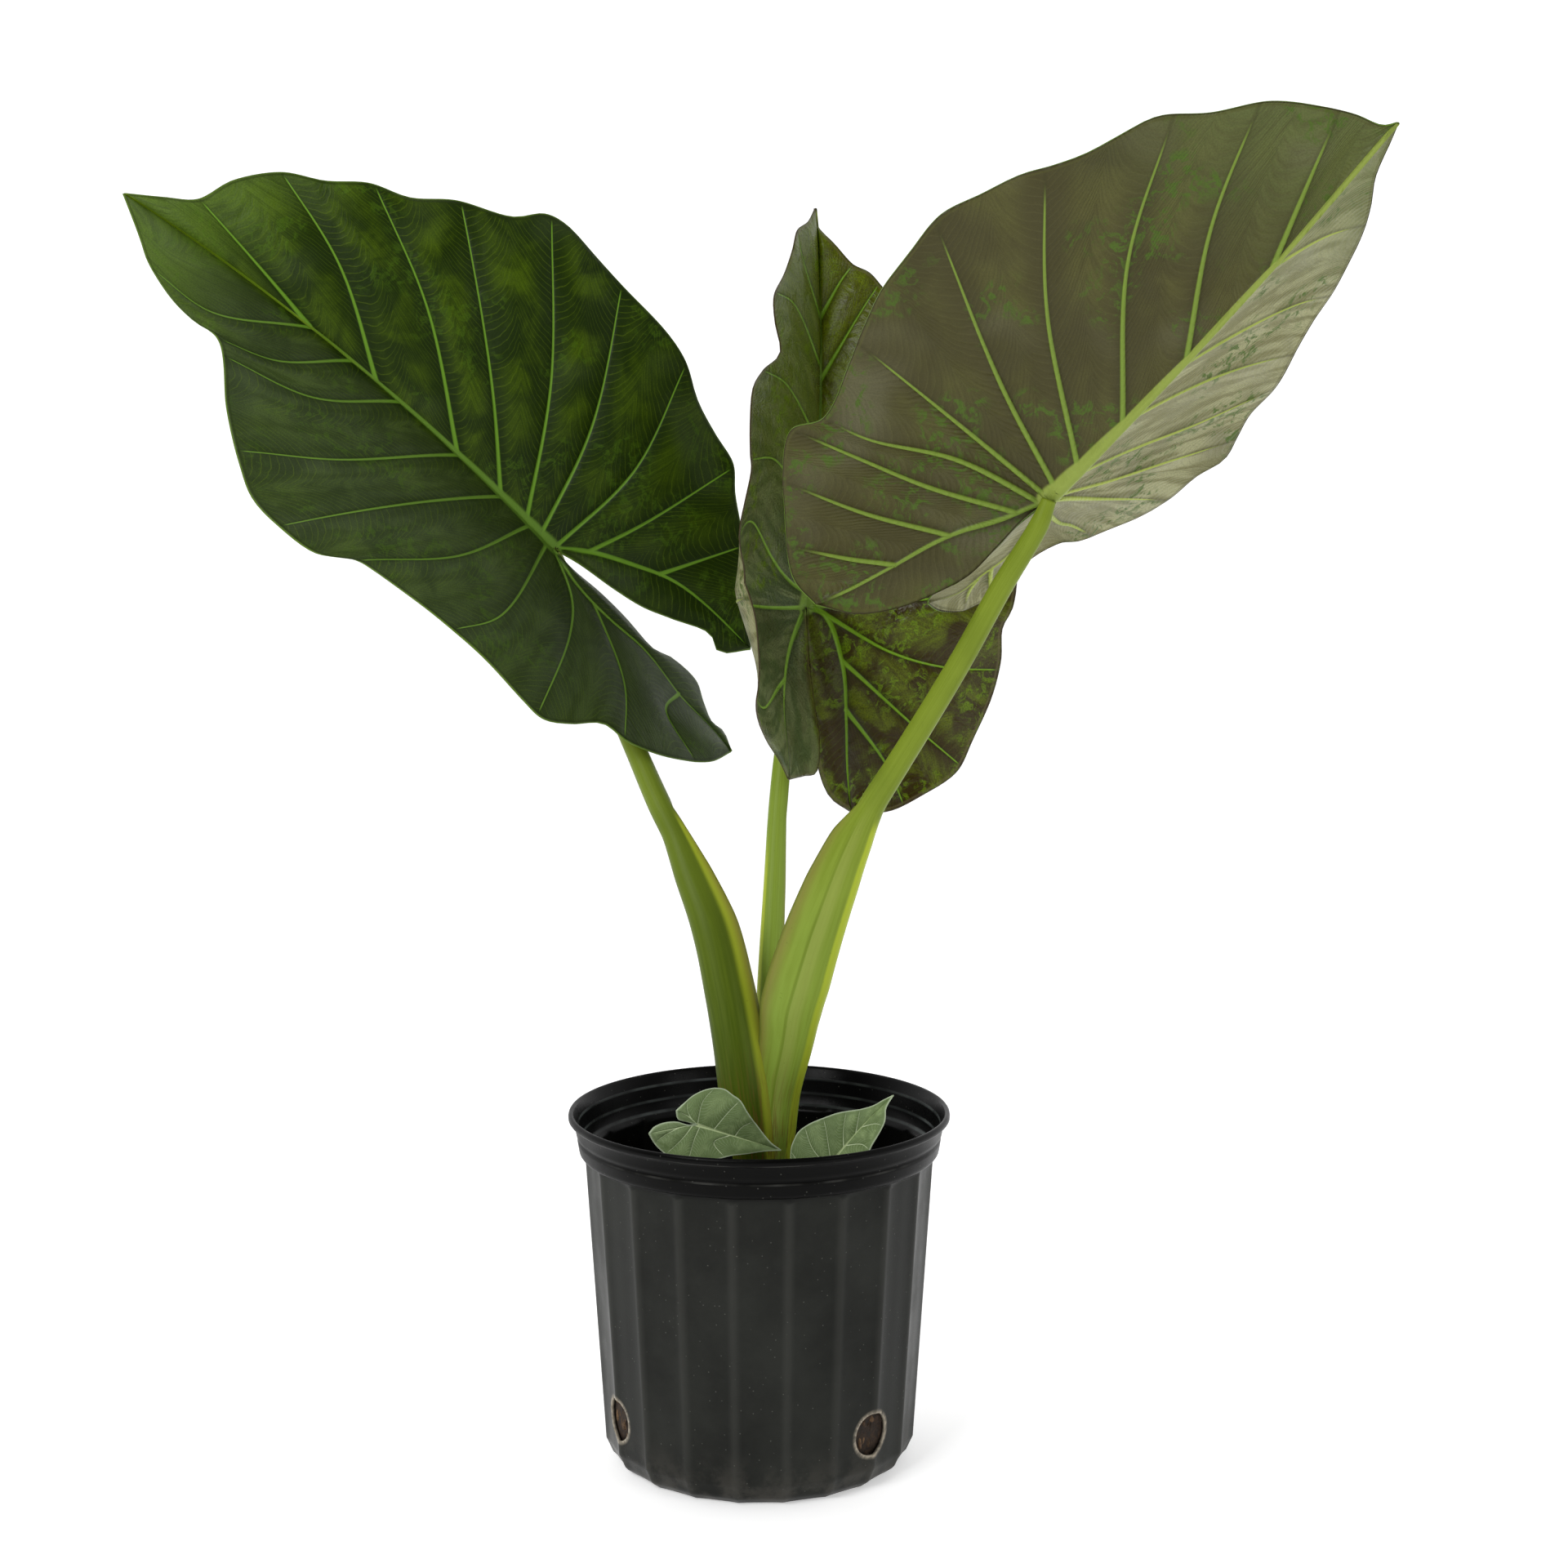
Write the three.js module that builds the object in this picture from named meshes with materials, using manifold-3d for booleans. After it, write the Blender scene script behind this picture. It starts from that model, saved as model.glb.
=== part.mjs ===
// A young regal shields alocasia in a round black nursery pot, in millimetres with +Z up.
// The origin is on the pot's axis, on the surface that the pot stands on, and -Y is the front.
// Three big shield leaves and two small ones at their feet each have a stem and a thin blade.

import * as THREE from 'three';
import { mergeVertices } from 'three/addons/utils/BufferGeometryUtils.js';
import Module from 'manifold-3d';

const wasm = await Module();
wasm.setup();

// Pot
const RIM_RADIUS = 129;
const POT_HEIGHT = 241;
const WALL_TOP_RADIUS = 118.4;
const WALL_TOP_HEIGHT = 212;
const HEEL_RADIUS = 106;
const HEEL_HEIGHT = 16;
const BASE_RADIUS = 94;
const WALL = 2.2;
const FLOOR = 3;
const FLUTES = 20;
const FLUTE_DEPTH = 2.2;
const FLUTE_TURN = 10;              // degrees from the X axis to the first ridge
const DRAIN_ANGLES = [-153, -45, 45, 135];
const DRAIN_WIDTH = 28;
const DRAIN_HEIGHT = 29;
const DRAIN_CENTRE = 40;
const DRAIN_SIDES = 18;
const DRAIN_REACH = 30;             // the hole's cut through the wall
const DRAIN_TILT = 12;              // degrees that the cut points down towards the pot's axis
const DRAIN_DROP = 22;              // what that tilt raises the cut by at the wall

// Soil, corm and clearances
const GAP = 0.3;
const SOIL_TOP = 166;
const SOIL_LUMPS = 3;
const CORM_TOP = 185;
const CORM_RADIUS = 23;
const CORM_DEPTH = 65;
const CORM_SIDES = 20;
const SOIL_SIDES = 36;
const STEM_CLEARANCE = 0.5;

// Blades
const BLADE_THICKNESS = 0.9;
const PUP_THICKNESS = 0.7;
const FOLD_REACH = 150;             // a half blade bends by its bend angle over this distance
const MIDRIB_STATIONS = 16;
const COLUMN_CROWDING = 1.25;       // above 1, the columns of a half blade crowd towards its margin

const materials = {
  pot: new THREE.MeshStandardMaterial({ color: 0x1b1c1d, roughness: 0.55, metalness: 0 }),
  soil: new THREE.MeshStandardMaterial({ color: 0x2b2118, roughness: 0.95, metalness: 0 }),
  corm: new THREE.MeshStandardMaterial({ color: 0x6a5a34, roughness: 0.8, metalness: 0 }),
  stem: new THREE.MeshStandardMaterial({ color: 0x7f9a3f, roughness: 0.45, metalness: 0 }),
  leaf: new THREE.MeshStandardMaterial({ color: 0x23401a, roughness: 0.35, metalness: 0 }),
  bronze: new THREE.MeshStandardMaterial({ color: 0x4b4526, roughness: 0.4, metalness: 0 }),
  pup: new THREE.MeshStandardMaterial({ color: 0x6f8565, roughness: 0.5, metalness: 0 }),
};

// The five blades. hub and tip are the ends of the midrib, and face is where the upper side looks.
// In a half blade, a point is [out, along]: out from the midrib line, along from the hub to the tip,
// as if the half were pressed flat. Its outline runs from the tip to the end of the basal lobe and
// its sinus from there to the hub. A vein is [where it leaves the midrib, its points up to the
// margin]. One below zero leaves the lobe's own rib, so far from the hub.
const blades = {
  left: {
    hub: [-146, 125, 613], tip: [-433, 90, 856], face: [0.39, -0.85, 0.34],
    rise: 14, droop: 15, sway: 6, lean: 0.08, material: 'leaf',
    ripple: 3, waves: 5,
    halves: [
      {
        fold: [30, 24], bend: -14,
        outline: [[14, 355], [27, 337], [53, 327], [78, 306], [91, 279], [108, 256], [119, 230], [140, 204],
          [155, 167], [171, 152], [176, 137], [175, 106], [171, 70], [162, 14], [149, -12], [141, -39],
          [135, -61], [120, -76], [105, -98], [90, -120], [69, -147]],
        lobe: [54, -159],
        sinus: [[35, -141], [39, -128], [26, -99], [16, -76], [10, -51], [5, -20]],
        rib: [[17, -22], [33, -53], [43, -75], [48, -93], [52, -125]],
        veins: [[224, [16, 275], [29, 338]], [167, [51, 235], [76, 305]], [93, [67, 172], [109, 252]],
          [52, [55, 104], [138, 200]], [27, [85, 75], [172, 147]], [13, [80, 33], [171, 80]],
          [0, [80, -9], [158, 11]], [-26, [57, -38], [132, -62]], [-82, [97, -103]]],
      },
      {
        fold: [34, 24], bend: -10,
        outline: [[31, 345], [43, 332], [58, 304], [63, 282], [63, 265], [113, 228], [144, 198], [162, 177],
          [169, 155], [170, 125], [151, 100], [148, 88], [145, 50], [147, 16], [149, -7], [152, -40],
          [151, -60], [136, -78], [113, -98], [110, -118], [99, -138], [82, -158], [54, -182]],
        lobe: [26, -193],
        sinus: [[15, -180], [18, -168], [8, -155], [-6, -141], [-3, -115], [6, -101], [2, -70], [1, -45], [3, -20]],
        rib: [[15, -26], [19, -60], [16, -96], [25, -139], [24, -170]],
        veins: [[224, [47, 279], [46, 327]], [189, [47, 226], [63, 264]], [146, [54, 192], [76, 256]],
          [92, [86, 151], [136, 205]], [51, [77, 98], [166, 152]], [23, [86, 51], [146, 104]],
          [6, [105, 4], [141, 23]], [0, [33, -30], [67, -43], [148, -55]], [-50, [65, -95], [109, -116]],
          [-140, [52, -132], [66, -170]]],
      },
    ],
  },
  middle: {
    hub: [32, 125, 572], tip: [39, 178, 853], face: [0.27, -0.95, 0.17],
    rise: 10, droop: 12, sway: 4, lean: 0.34, material: 'leaf',
    ripple: 3, waves: 5,
    halves: [
      {
        fold: [30, 24], bend: -10,
        outline: [[1, 273], [13, 259], [27, 244], [39, 238], [51, 225], [80, 196], [110, 160], [132, 115],
          [145, 65], [149, 28], [146, 0], [140, -14], [142, -36], [139, -61], [128, -91], [119, -113],
          [98, -129], [75, -141]],
        lobe: [46, -142],
        sinus: [[29, -131], [17, -103], [10, -66], [6, -32], [3, -14]],
        rib: [[14, -5], [30, -40], [36, -77], [40, -110]],
        veins: [[205, [18, 232], [27, 244]], [160, [32, 209], [46, 230]], [110, [62, 160], [98, 176]],
          [60, [80, 100], [135, 108]], [25, [70, 50], [146, 60]], [0, [56, 3], [146, 12]],
          [-14, [64, -31], [104, -41], [140, -42]], [-50, [82, -79], [118, -107]],
          [-85, [68, -108], [84, -135]]],
      },
      {
        fold: [52, 48], bend: 0, curl: { at: -5, reach: 70, bend: 84, fold: -36 },
        outline: [[14, 272], [32, 261], [41, 244], [54, 225], [74, 202], [73, 184], [64, 167], [89, 150],
          [107, 133], [112, 107], [108, 89], [102, 80], [104, 63], [109, 49], [124, 30], [141, 6], [143, -18],
          [141, -45], [145, -65], [150, -76], [113, -99], [84, -113]],
        lobe: [70, -126],
        sinus: [[41, -122], [13, -117], [-2, -95], [-4, -60], [-3, -32]],
        rib: [[12, -23], [30, -53], [55, -84], [64, -106]],
        veins: [[205, [24, 240], [32, 259]], [170, [40, 205], [72, 207]], [115, [52, 146], [90, 150]],
          [60, [60, 92], [106, 86]], [10, [13, 15], [82, 48], [124, 30]], [0, [27, -3], [58, -5], [142, -10]],
          [-62, [37, -57], [103, -80], [148, -76]]],
      },
    ],
  },
  right: {
    hub: [182, -100, 654], tip: [369, -200, 872], face: [-0.25, 0.78, 0.57],
    rise: -6, droop: 15, sway: 0, lean: 0, material: 'bronze',
    ripple: 3, waves: 5,
    halves: [
      {
        fold: [26, 22], bend: -10,
        outline: [[6, 297], [22, 292], [40, 284], [70, 267], [92, 241], [112, 222], [123, 201], [133, 182],
          [144, 165], [154, 149], [163, 124], [174, 100], [175, 74], [172, 45], [162, 18], [152, -10],
          [144, -46], [154, -64], [139, -91], [125, -108], [100, -137], [88, -145]],
        lobe: [69, -149],
        sinus: [[44, -138], [25, -118], [11, -92], [4, -72], [3, -44], [3, -20]],
        rib: [[12, -27], [31, -60], [45, -97], [58, -129]],
        veins: [[196, [17, 244], [31, 287]], [121, [45, 193], [72, 264]], [65, [69, 147], [106, 228]],
          [26, [83, 91], [146, 160]], [7, [72, 38], [176, 96]], [0, [68, 2], [158, 5]],
          [-6, [60, -17], [111, -40], [145, -46]], [-22, [60, -42], [110, -55], [154, -64]],
          [-67, [80, -81], [136, -97]], [-107, [71, -112], [108, -128]]],
      },
      {
        fold: [36, 30], bend: -14, lean: 0.35,
        outline: [[12, 292], [30, 270], [50, 254], [80, 223], [101, 195], [108, 170], [116, 150], [139, 116],
          [145, 94], [155, 75], [162, 57], [151, 38], [154, 12], [149, -13], [125, -34], [112, -41], [93, -45],
          [86, -56], [86, -72], [91, -92], [93, -108], [84, -117], [74, -122], [48, -124], [30, -120]],
        lobe: [22, -117],
        sinus: [[15, -110], [14, -101], [29, -96], [28, -74], [26, -54], [16, -34], [12, -18]],
        rib: [[20, -12], [37, -30], [52, -66], [49, -86], [46, -104]],
        veins: [[200, [30, 225], [66, 245]], [121, [71, 177], [107, 193]], [76, [66, 118], [123, 150]],
          [24, [91, 74], [139, 120]], [4, [60, 18], [113, 45], [158, 74]], [0, [80, 2], [154, 12]],
          [-28, [65, -27], [82, -28], [123, -34]], [-75, [72, -68], [88, -72]], [-100, [70, -92], [92, -108]],
          [-112, [58, -104], [76, -122]]],
      },
    ],
  },
  pup_left: {
    hub: [-40, -62, 246], tip: [15, -48, 225], face: [0.3, -0.94, 0.16],
    rise: 3, droop: 4, sway: 0, lean: 0, material: 'pup',
    ripple: 0.8, waves: 3,
    halves: [
      {
        fold: [16, 16], bend: -60,
        outline: [[4, 48], [9, 37], [13, 27], [20, 14], [25, 1], [26, -11], [23, -19], [20, -24]],
        lobe: [15, -29],
        sinus: [[10, -27], [5, -21], [2, -13], [2, -6]],
        rib: [[3, -7], [8, -16]],
        veins: [[23, [8, 13], [15, 22]], [2, [11, 0], [25, 0]], [-3, [11, -7], [24, -15]], [-12, [13, -19], [20, -24]]],
      },
      {
        fold: [16, 16], bend: -60,
        outline: [[3, 51], [12, 37], [18, 28], [24, 21], [26, 15], [28, 9], [27, 3], [24, -3], [18, -9], [11, -13]],
        lobe: [5, -16],
        sinus: [[0, -13], [0, -6]],
        rib: [[4, -8]],
        veins: [[26, [7, 28], [14, 35]], [11, [14, 16], [24, 21]], [0, [16, -2], [27, 2]], [-5, [7, -9], [14, -12]]],
      },
    ],
  },
  pup_right: {
    hub: [46, -60, 217], tip: [89, -50, 263], face: [-0.3, -0.84, 0.45],
    rise: 4, droop: 4, sway: 0, lean: 0, material: 'pup',
    ripple: 0.8, waves: 3,
    halves: [
      {
        fold: [20, 20], bend: -60,
        outline: [[4, 54], [10, 48], [14, 39], [17, 29], [21, 18], [23, 4], [21, -9], [17, -18]],
        lobe: [12, -24],
        sinus: [[7, -18], [2, -8]],
        rib: [[5, -8], [9, -17]],
        veins: [[34, [7, 42], [12, 44]], [18, [10, 26], [18, 27]], [0, [12, 3], [23, 4]], [-9, [14, -12], [21, -10]]],
      },
      {
        fold: [20, 20], bend: -60,
        outline: [[2, 57], [4, 50], [9, 42], [16, 33], [22, 23], [28, 12], [30, 4], [29, -2], [27, -8], [20, -17]],
        lobe: [14, -24],
        sinus: [[7, -18], [2, -8]],
        rib: [[6, -8], [10, -17]],
        veins: [[28, [5, 36], [9, 42]], [16, [8, 25], [15, 35]], [3, [14, 15], [23, 22]], [0, [16, 2], [29, 9]],
          [-9, [16, -11], [26, -9]]],
      },
    ],
  },
};

// The stems. A station is [x, y, z, half depth, half width, sheath]: half depth lies along the
// way that the sheath opens, and sheath goes from 0, a round stalk, to 1, an open channel.
const stems = {
  left: {
    opens: [0.92, 0.38, 0],
    stations: [[-5, -4, CORM_TOP + GAP, 13, 11, 0.6], [-4, -5, 211, 14.5, 12, 0.9], [-6, -5, 228, 16.5, 13, 1],
      [-10, -3, 255, 18, 14, 1], [-15, 3, 287, 17, 13.5, 1], [-21, 11, 319, 16.5, 13, 1],
      [-31, 23, 360, 15.5, 12, 1], [-46, 37, 395, 12.5, 10.5, 0.9], [-58, 50, 421, 9, 8.6, 0.5],
      [-69, 62, 440, 8.4, 8.2, 0], [-87, 86, 476, 7.5, 7.5, 0], [-105, 101, 514, 7, 7, 0],
      [-123, 115, 552, 6.6, 6.6, 0], [-138, 133, 590, 6, 6, 0], [-146.2, 130.8, 611.7, 4.6, 4.6, 0]],
  },
  right: {
    opens: [-0.85, 0.53, 0],
    stations: [[10, 2, CORM_TOP + GAP, 11.5, 11, 0.6], [11, 2, 211, 12.5, 11.5, 0.9], [12, 1, 228, 13.5, 12, 1],
      [14, 0, 255, 15, 12.5, 1], [20, -5, 290, 18, 13, 1], [23, -9, 312, 20.5, 13.5, 1],
      [29, -14, 335, 21, 13.5, 1], [40, -22, 372, 19, 13, 1], [50, -30, 402, 17.5, 12, 0.9],
      [62, -38, 433, 14.5, 10, 0.7], [74, -45, 456, 9.2, 8.4, 0.1], [92, -55, 486, 7.9, 7.9, 0],
      [127, -74, 548, 7.4, 7.4, 0], [154, -91, 601, 7, 7, 0], [175, -104, 639, 6.2, 6.2, 0],
      [180.2, -105.5, 652.8, 4.6, 4.6, 0]],
  },
  middle: {
    opens: [0.8, 0.6, 0],
    stations: [[1, 12, CORM_TOP + GAP, 9, 8.5, 0], [4, 19, 211, 9.5, 9, 0.3], [5, 32, 272, 9, 8.6, 0.7],
      [7, 47, 326, 8.4, 8, 0.7], [10, 65, 383, 7.6, 7.2, 0.5], [13, 84, 440, 6.6, 6.6, 0],
      [17, 101, 478, 6.2, 6.2, 0], [22, 116, 512, 5.8, 5.8, 0], [28, 129.5, 546, 5.4, 5.4, 0],
      [31.4, 130.2, 570.2, 4.4, 4.4, 0]],
  },
  pup_left: {
    opens: [0, 1, 0],
    stations: [[-26, -34, 140, 3, 3, 0], [-27, -36, 168, 3, 3, 0], [-33, -46, 205, 2.6, 2.6, 0],
      [-38, -55, 230, 2.2, 2.2, 0], [-39.6, -60.4, 244.2, 1.8, 1.8, 0]],
  },
  pup_right: {
    opens: [0, 1, 0],
    stations: [[30, -32, 140, 3, 3, 0], [32, -35, 165, 3, 3, 0], [38, -46, 190, 2.6, 2.6, 0],
      [43, -53, 205, 2.2, 2.2, 0], [45.5, -57.4, 216.2, 1.8, 1.8, 0]],
  },
};

const radians = THREE.MathUtils.degToRad;
const lerp = THREE.MathUtils.lerp;
const clamp = THREE.MathUtils.clamp;

// Helpers that turn points and faces into one closed mesh

function geometryFrom(points, faces) {
  const geometry = new THREE.BufferGeometry();
  const position = [];
  for (const p of points) position.push(p.x, p.y, p.z);
  geometry.setAttribute('position', new THREE.Float32BufferAttribute(position, 3));
  geometry.setIndex(faces.flat());
  return geometry;
}

function solidFrom(geometry) {
  const bare = geometry.clone();
  bare.deleteAttribute('normal');
  bare.deleteAttribute('uv');
  const merged = mergeVertices(bare, 1e-4);
  const vertProperties = new Float32Array(merged.attributes.position.array);
  const triVerts = new Uint32Array(merged.index.array);
  return new wasm.Manifold(new wasm.Mesh({ numProp: 3, vertProperties, triVerts }));
}

function geometryOf(solid) {
  const mesh = solid.getMesh();
  const geometry = new THREE.BufferGeometry();
  geometry.setAttribute('position', new THREE.BufferAttribute(new Float32Array(mesh.vertProperties), 3));
  geometry.setIndex(new THREE.BufferAttribute(new Uint32Array(mesh.triVerts), 1));
  return geometry;
}

// Keeps the largest body where a cut leaves loose scraps
function largestOf(solid) {
  const bodies = solid.decompose();
  bodies.sort((a, b) => b.volume() - a.volume());
  return bodies[0];
}

function named(name, geometry, material) {
  const finished = geometry.index ? geometry.toNonIndexed() : geometry;
  finished.computeVertexNormals();
  const mesh = new THREE.Mesh(finished, materials[material]);
  mesh.name = name;
  return mesh;
}

// Closes a stack of rings of equal length with a fan at each end
function ringSolid(rings, first, last) {
  const points = rings.flat();
  const count = rings[0].length;
  const faces = [];
  for (let r = 0; r + 1 < rings.length; r++) {
    for (let i = 0; i < count; i++) {
      const a = r * count + i;
      const b = r * count + (i + 1) % count;
      faces.push([a, b, b + count], [a, b + count, a + count]);
    }
  }
  const low = points.length;
  points.push(first);
  const high = points.length;
  points.push(last);
  const top = (rings.length - 1) * count;
  for (let i = 0; i < count; i++) {
    const next = (i + 1) % count;
    faces.push([low, next, i], [high, top + i, top + next]);
  }
  return geometryFrom(points, faces);
}

// Pot: a fluted shell under a smooth double band and a rolled lip

const ridgeShape = [[0, 0], [0.17, 0.75], [0.5, 1], [0.83, 0.75]];

function fluteAngles() {
  const angles = [];
  for (let f = 0; f < FLUTES; f++) {
    for (const [share, depth] of ridgeShape) {
      angles.push({ angle: radians(FLUTE_TURN + (f + share) * 360 / FLUTES), depth });
    }
  }
  return angles;
}

// Radius, height and how much of the flutes' depth shows there, from the middle of the
// underside up the outside, over the lip and down the inside to the floor
const potProfile = [
  [BASE_RADIUS - 12, 0, 0], [BASE_RADIUS, 0, 0.8], [BASE_RADIUS + 7, 5, 1], [HEEL_RADIUS, HEEL_HEIGHT, 1],
  [lerp(HEEL_RADIUS, WALL_TOP_RADIUS, 0.5), lerp(HEEL_HEIGHT, WALL_TOP_HEIGHT, 0.5), 1],
  [WALL_TOP_RADIUS - 0.4, WALL_TOP_HEIGHT - 6, 1], [WALL_TOP_RADIUS, WALL_TOP_HEIGHT, 0.2],
  [RIM_RADIUS - 7.2, 215, 0], [RIM_RADIUS - 6, 222.4, 0], [RIM_RADIUS - 6.8, 224, 0], [RIM_RADIUS - 5.4, 226, 0],
  [RIM_RADIUS - 4.2, 234, 0], [RIM_RADIUS, 236.5, 0], [RIM_RADIUS - 0.3, POT_HEIGHT - 1, 0],
  [RIM_RADIUS - 1.5, POT_HEIGHT, 0], [RIM_RADIUS - 3.4, POT_HEIGHT - 0.8, 0], [RIM_RADIUS - 6.6, 232.5, 0],
  [RIM_RADIUS - 8.4, 222.5, 0], [RIM_RADIUS - 9.8, 216, 0], [WALL_TOP_RADIUS - WALL - 0.4, WALL_TOP_HEIGHT, 0.2],
  [WALL_TOP_RADIUS - WALL - 0.8, WALL_TOP_HEIGHT - 6, 1],
  [lerp(HEEL_RADIUS, WALL_TOP_RADIUS, 0.5) - WALL, lerp(HEEL_HEIGHT, WALL_TOP_HEIGHT, 0.5), 1],
  [HEEL_RADIUS - WALL, HEEL_HEIGHT + 1, 1], [BASE_RADIUS - WALL - 1, FLOOR, 0.8],
];

function drainHole(angle) {
  const hole = new THREE.CylinderGeometry(DRAIN_HEIGHT / 2, DRAIN_HEIGHT / 2, DRAIN_REACH, DRAIN_SIDES);
  hole.scale(DRAIN_WIDTH / DRAIN_HEIGHT, 1, 1);
  hole.rotateZ(radians(90));
  hole.rotateX(radians(90));
  hole.translate(HEEL_RADIUS, 0, 0);
  hole.rotateY(radians(-DRAIN_TILT));
  hole.rotateZ(radians(angle));
  hole.translate(0, 0, DRAIN_CENTRE - DRAIN_DROP);
  return hole;
}

function makePot() {
  const angles = fluteAngles();
  const rings = potProfile.map(([radius, height, share]) => angles.map(({ angle, depth }) => {
    const r = radius - depth * share * FLUTE_DEPTH;
    return new THREE.Vector3(r * Math.cos(angle), r * Math.sin(angle), height);
  }));
  const shell = ringSolid(rings, new THREE.Vector3(0, 0, 0), new THREE.Vector3(0, 0, FLOOR));
  let solid = solidFrom(shell);
  for (const angle of DRAIN_ANGLES) solid = solid.subtract(solidFrom(drainHole(angle)));
  return solid;
}

// Stems: a swept section that opens from a round stalk into a channel with two thin lips

const BACK_POINTS = 9;
const FRONT_POINTS = 6;
const LIP_TURN = 118;               // degrees round from the back of the stem to each lip
const LIP_ACROSS = 0.62;            // the lips' place across an open sheath, as a share of its half width
const SECTION = sectionShape();

function sectionShape() {
  const shape = [];
  for (let i = 0; i < BACK_POINTS; i++) {
    const turn = radians(lerp(-LIP_TURN, LIP_TURN, i / (BACK_POINTS - 1)));
    const wing = Math.max(0, (Math.abs(turn) - radians(90)) / radians(LIP_TURN - 90));
    shape.push({
      round: [-Math.cos(turn), Math.sin(turn)],
      open: [-Math.cos(turn) + 0.5 * wing, Math.sin(turn) * (1 - 0.1 * wing)],
    });
  }
  for (let i = 1; i <= FRONT_POINTS; i++) {
    const share = i / (FRONT_POINTS + 1);
    const turn = radians(lerp(LIP_TURN, 360 - LIP_TURN, share));
    const across = lerp(LIP_ACROSS, -LIP_ACROSS, share);
    shape.push({
      round: [-Math.cos(turn), Math.sin(turn)],
      open: [lerp(-0.3, 0.85, (across / LIP_ACROSS) ** 2), across],
    });
  }
  return shape;
}

function stemGeometry(stem, grow = 0) {
  const stations = stem.stations;
  const spine = new THREE.CatmullRomCurve3(stations.map(([x, y, z]) => new THREE.Vector3(x, y, z)));
  const steps = 2 * (stations.length - 1);
  const rings = [];
  let first = null;
  let last = null;
  for (let i = 0; i <= steps; i++) {
    const t = i / steps;
    const centre = spine.getPoint(t);
    const tangent = i === 0 ? new THREE.Vector3(0, 0, 1) : spine.getTangent(t);
    const k = Math.min(Math.floor(i / 2), stations.length - 2);
    const share = i / 2 - k;
    const [deep, wide, sheath] = [3, 4, 5].map((n) => lerp(stations[k][n], stations[k + 1][n], share));
    const open = new THREE.Vector3(...stem.opens);
    open.addScaledVector(tangent, -open.dot(tangent)).normalize();
    const side = new THREE.Vector3().crossVectors(tangent, open);
    const end = i === 0 ? -1 : i === steps ? 1 : 0;
    centre.addScaledVector(tangent, end * grow);
    const section = SECTION.map(({ round, open: channel }) => new THREE.Vector2(
      lerp(round[0], channel[0], sheath) * deep,
      lerp(round[1], channel[1], sheath) * wide,
    ));
    rings.push(section.map((point, n) => {
      const before = point.clone().sub(section.at(n - 1)).normalize();
      const after = section[(n + 1) % section.length].clone().sub(point).normalize();
      const outward = new THREE.Vector2(-before.y - after.y, before.x + after.x).normalize();
      const corner = Math.max(0.5, Math.sqrt((1 + before.dot(after)) / 2));
      const { x, y } = point.clone().addScaledVector(outward, grow / corner);
      return centre.clone().addScaledVector(open, x).addScaledVector(side, y);
    }));
    const core = centre.clone().addScaledVector(open, -0.6 * sheath * deep);
    first = first ?? core;
    last = core;
  }
  rings.forEach((ring) => ring.reverse());
  return ringSolid(rings, first, last);
}

// Blades

function curveThrough(points) {
  return new THREE.CatmullRomCurve3(points.map(([x, y]) => new THREE.Vector3(x, y, 0)), false, 'centripetal');
}

function bladeFrame(blade) {
  const hub = new THREE.Vector3(...blade.hub);
  const along = new THREE.Vector3(...blade.tip).sub(hub);
  const length = along.length();
  along.normalize();
  const normal = new THREE.Vector3(...blade.face);
  normal.addScaledVector(along, -normal.dot(along)).normalize();
  const right = new THREE.Vector3().crossVectors(along, normal);
  return { hub, along, normal, right, length };
}

// How far the fold line lies to the right of the straight line through the hub and the tip
function foldLine(blade, half, length, v) {
  const t = clamp(v / length, 0, 1);
  return v >= 0 ? 4 * blade.sway * t * (1 - t) : -(half.lean ?? blade.lean) * v;
}

// The place in space of a flat point of a half blade, raised by lift
function bladePoint(blade, frame, side, out, v, lift) {
  const half = blade.halves[side > 0 ? 0 : 1];
  const shift = foldLine(blade, half, frame.length, v);
  const distance = out - side * shift;
  const t = clamp(v / frame.length, 0, 1);
  const q = clamp(-v / FOLD_REACH, 0, 2);
  let fold = radians(lerp(half.fold[0], half.fold[1], t));
  let bend = radians(half.bend) / FOLD_REACH;
  if (half.curl) {
    const away = (v - half.curl.at) / half.curl.reach;
    bend += radians(half.curl.bend) / FOLD_REACH * Math.exp(-away * away);
    fold += radians(half.curl.fold) * Math.exp(-away * away);
  }
  const turned = fold + bend * distance;
  const flat = Math.abs(bend) < 1e-6;
  const reach = flat ? distance * Math.cos(fold) : (Math.sin(turned) - Math.sin(fold)) / bend;
  const height = flat ? distance * Math.sin(fold) : (Math.cos(fold) - Math.cos(turned)) / bend;
  const slope = 4 * blade.rise / frame.length;
  const bow = v >= 0 ? slope * v * (1 - t) : slope * v - blade.droop * q * q;
  return frame.hub.clone()
    .addScaledVector(frame.along, v)
    .addScaledVector(frame.right, shift + side * reach)
    .addScaledVector(frame.normal, height + bow + lift);
}

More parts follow.
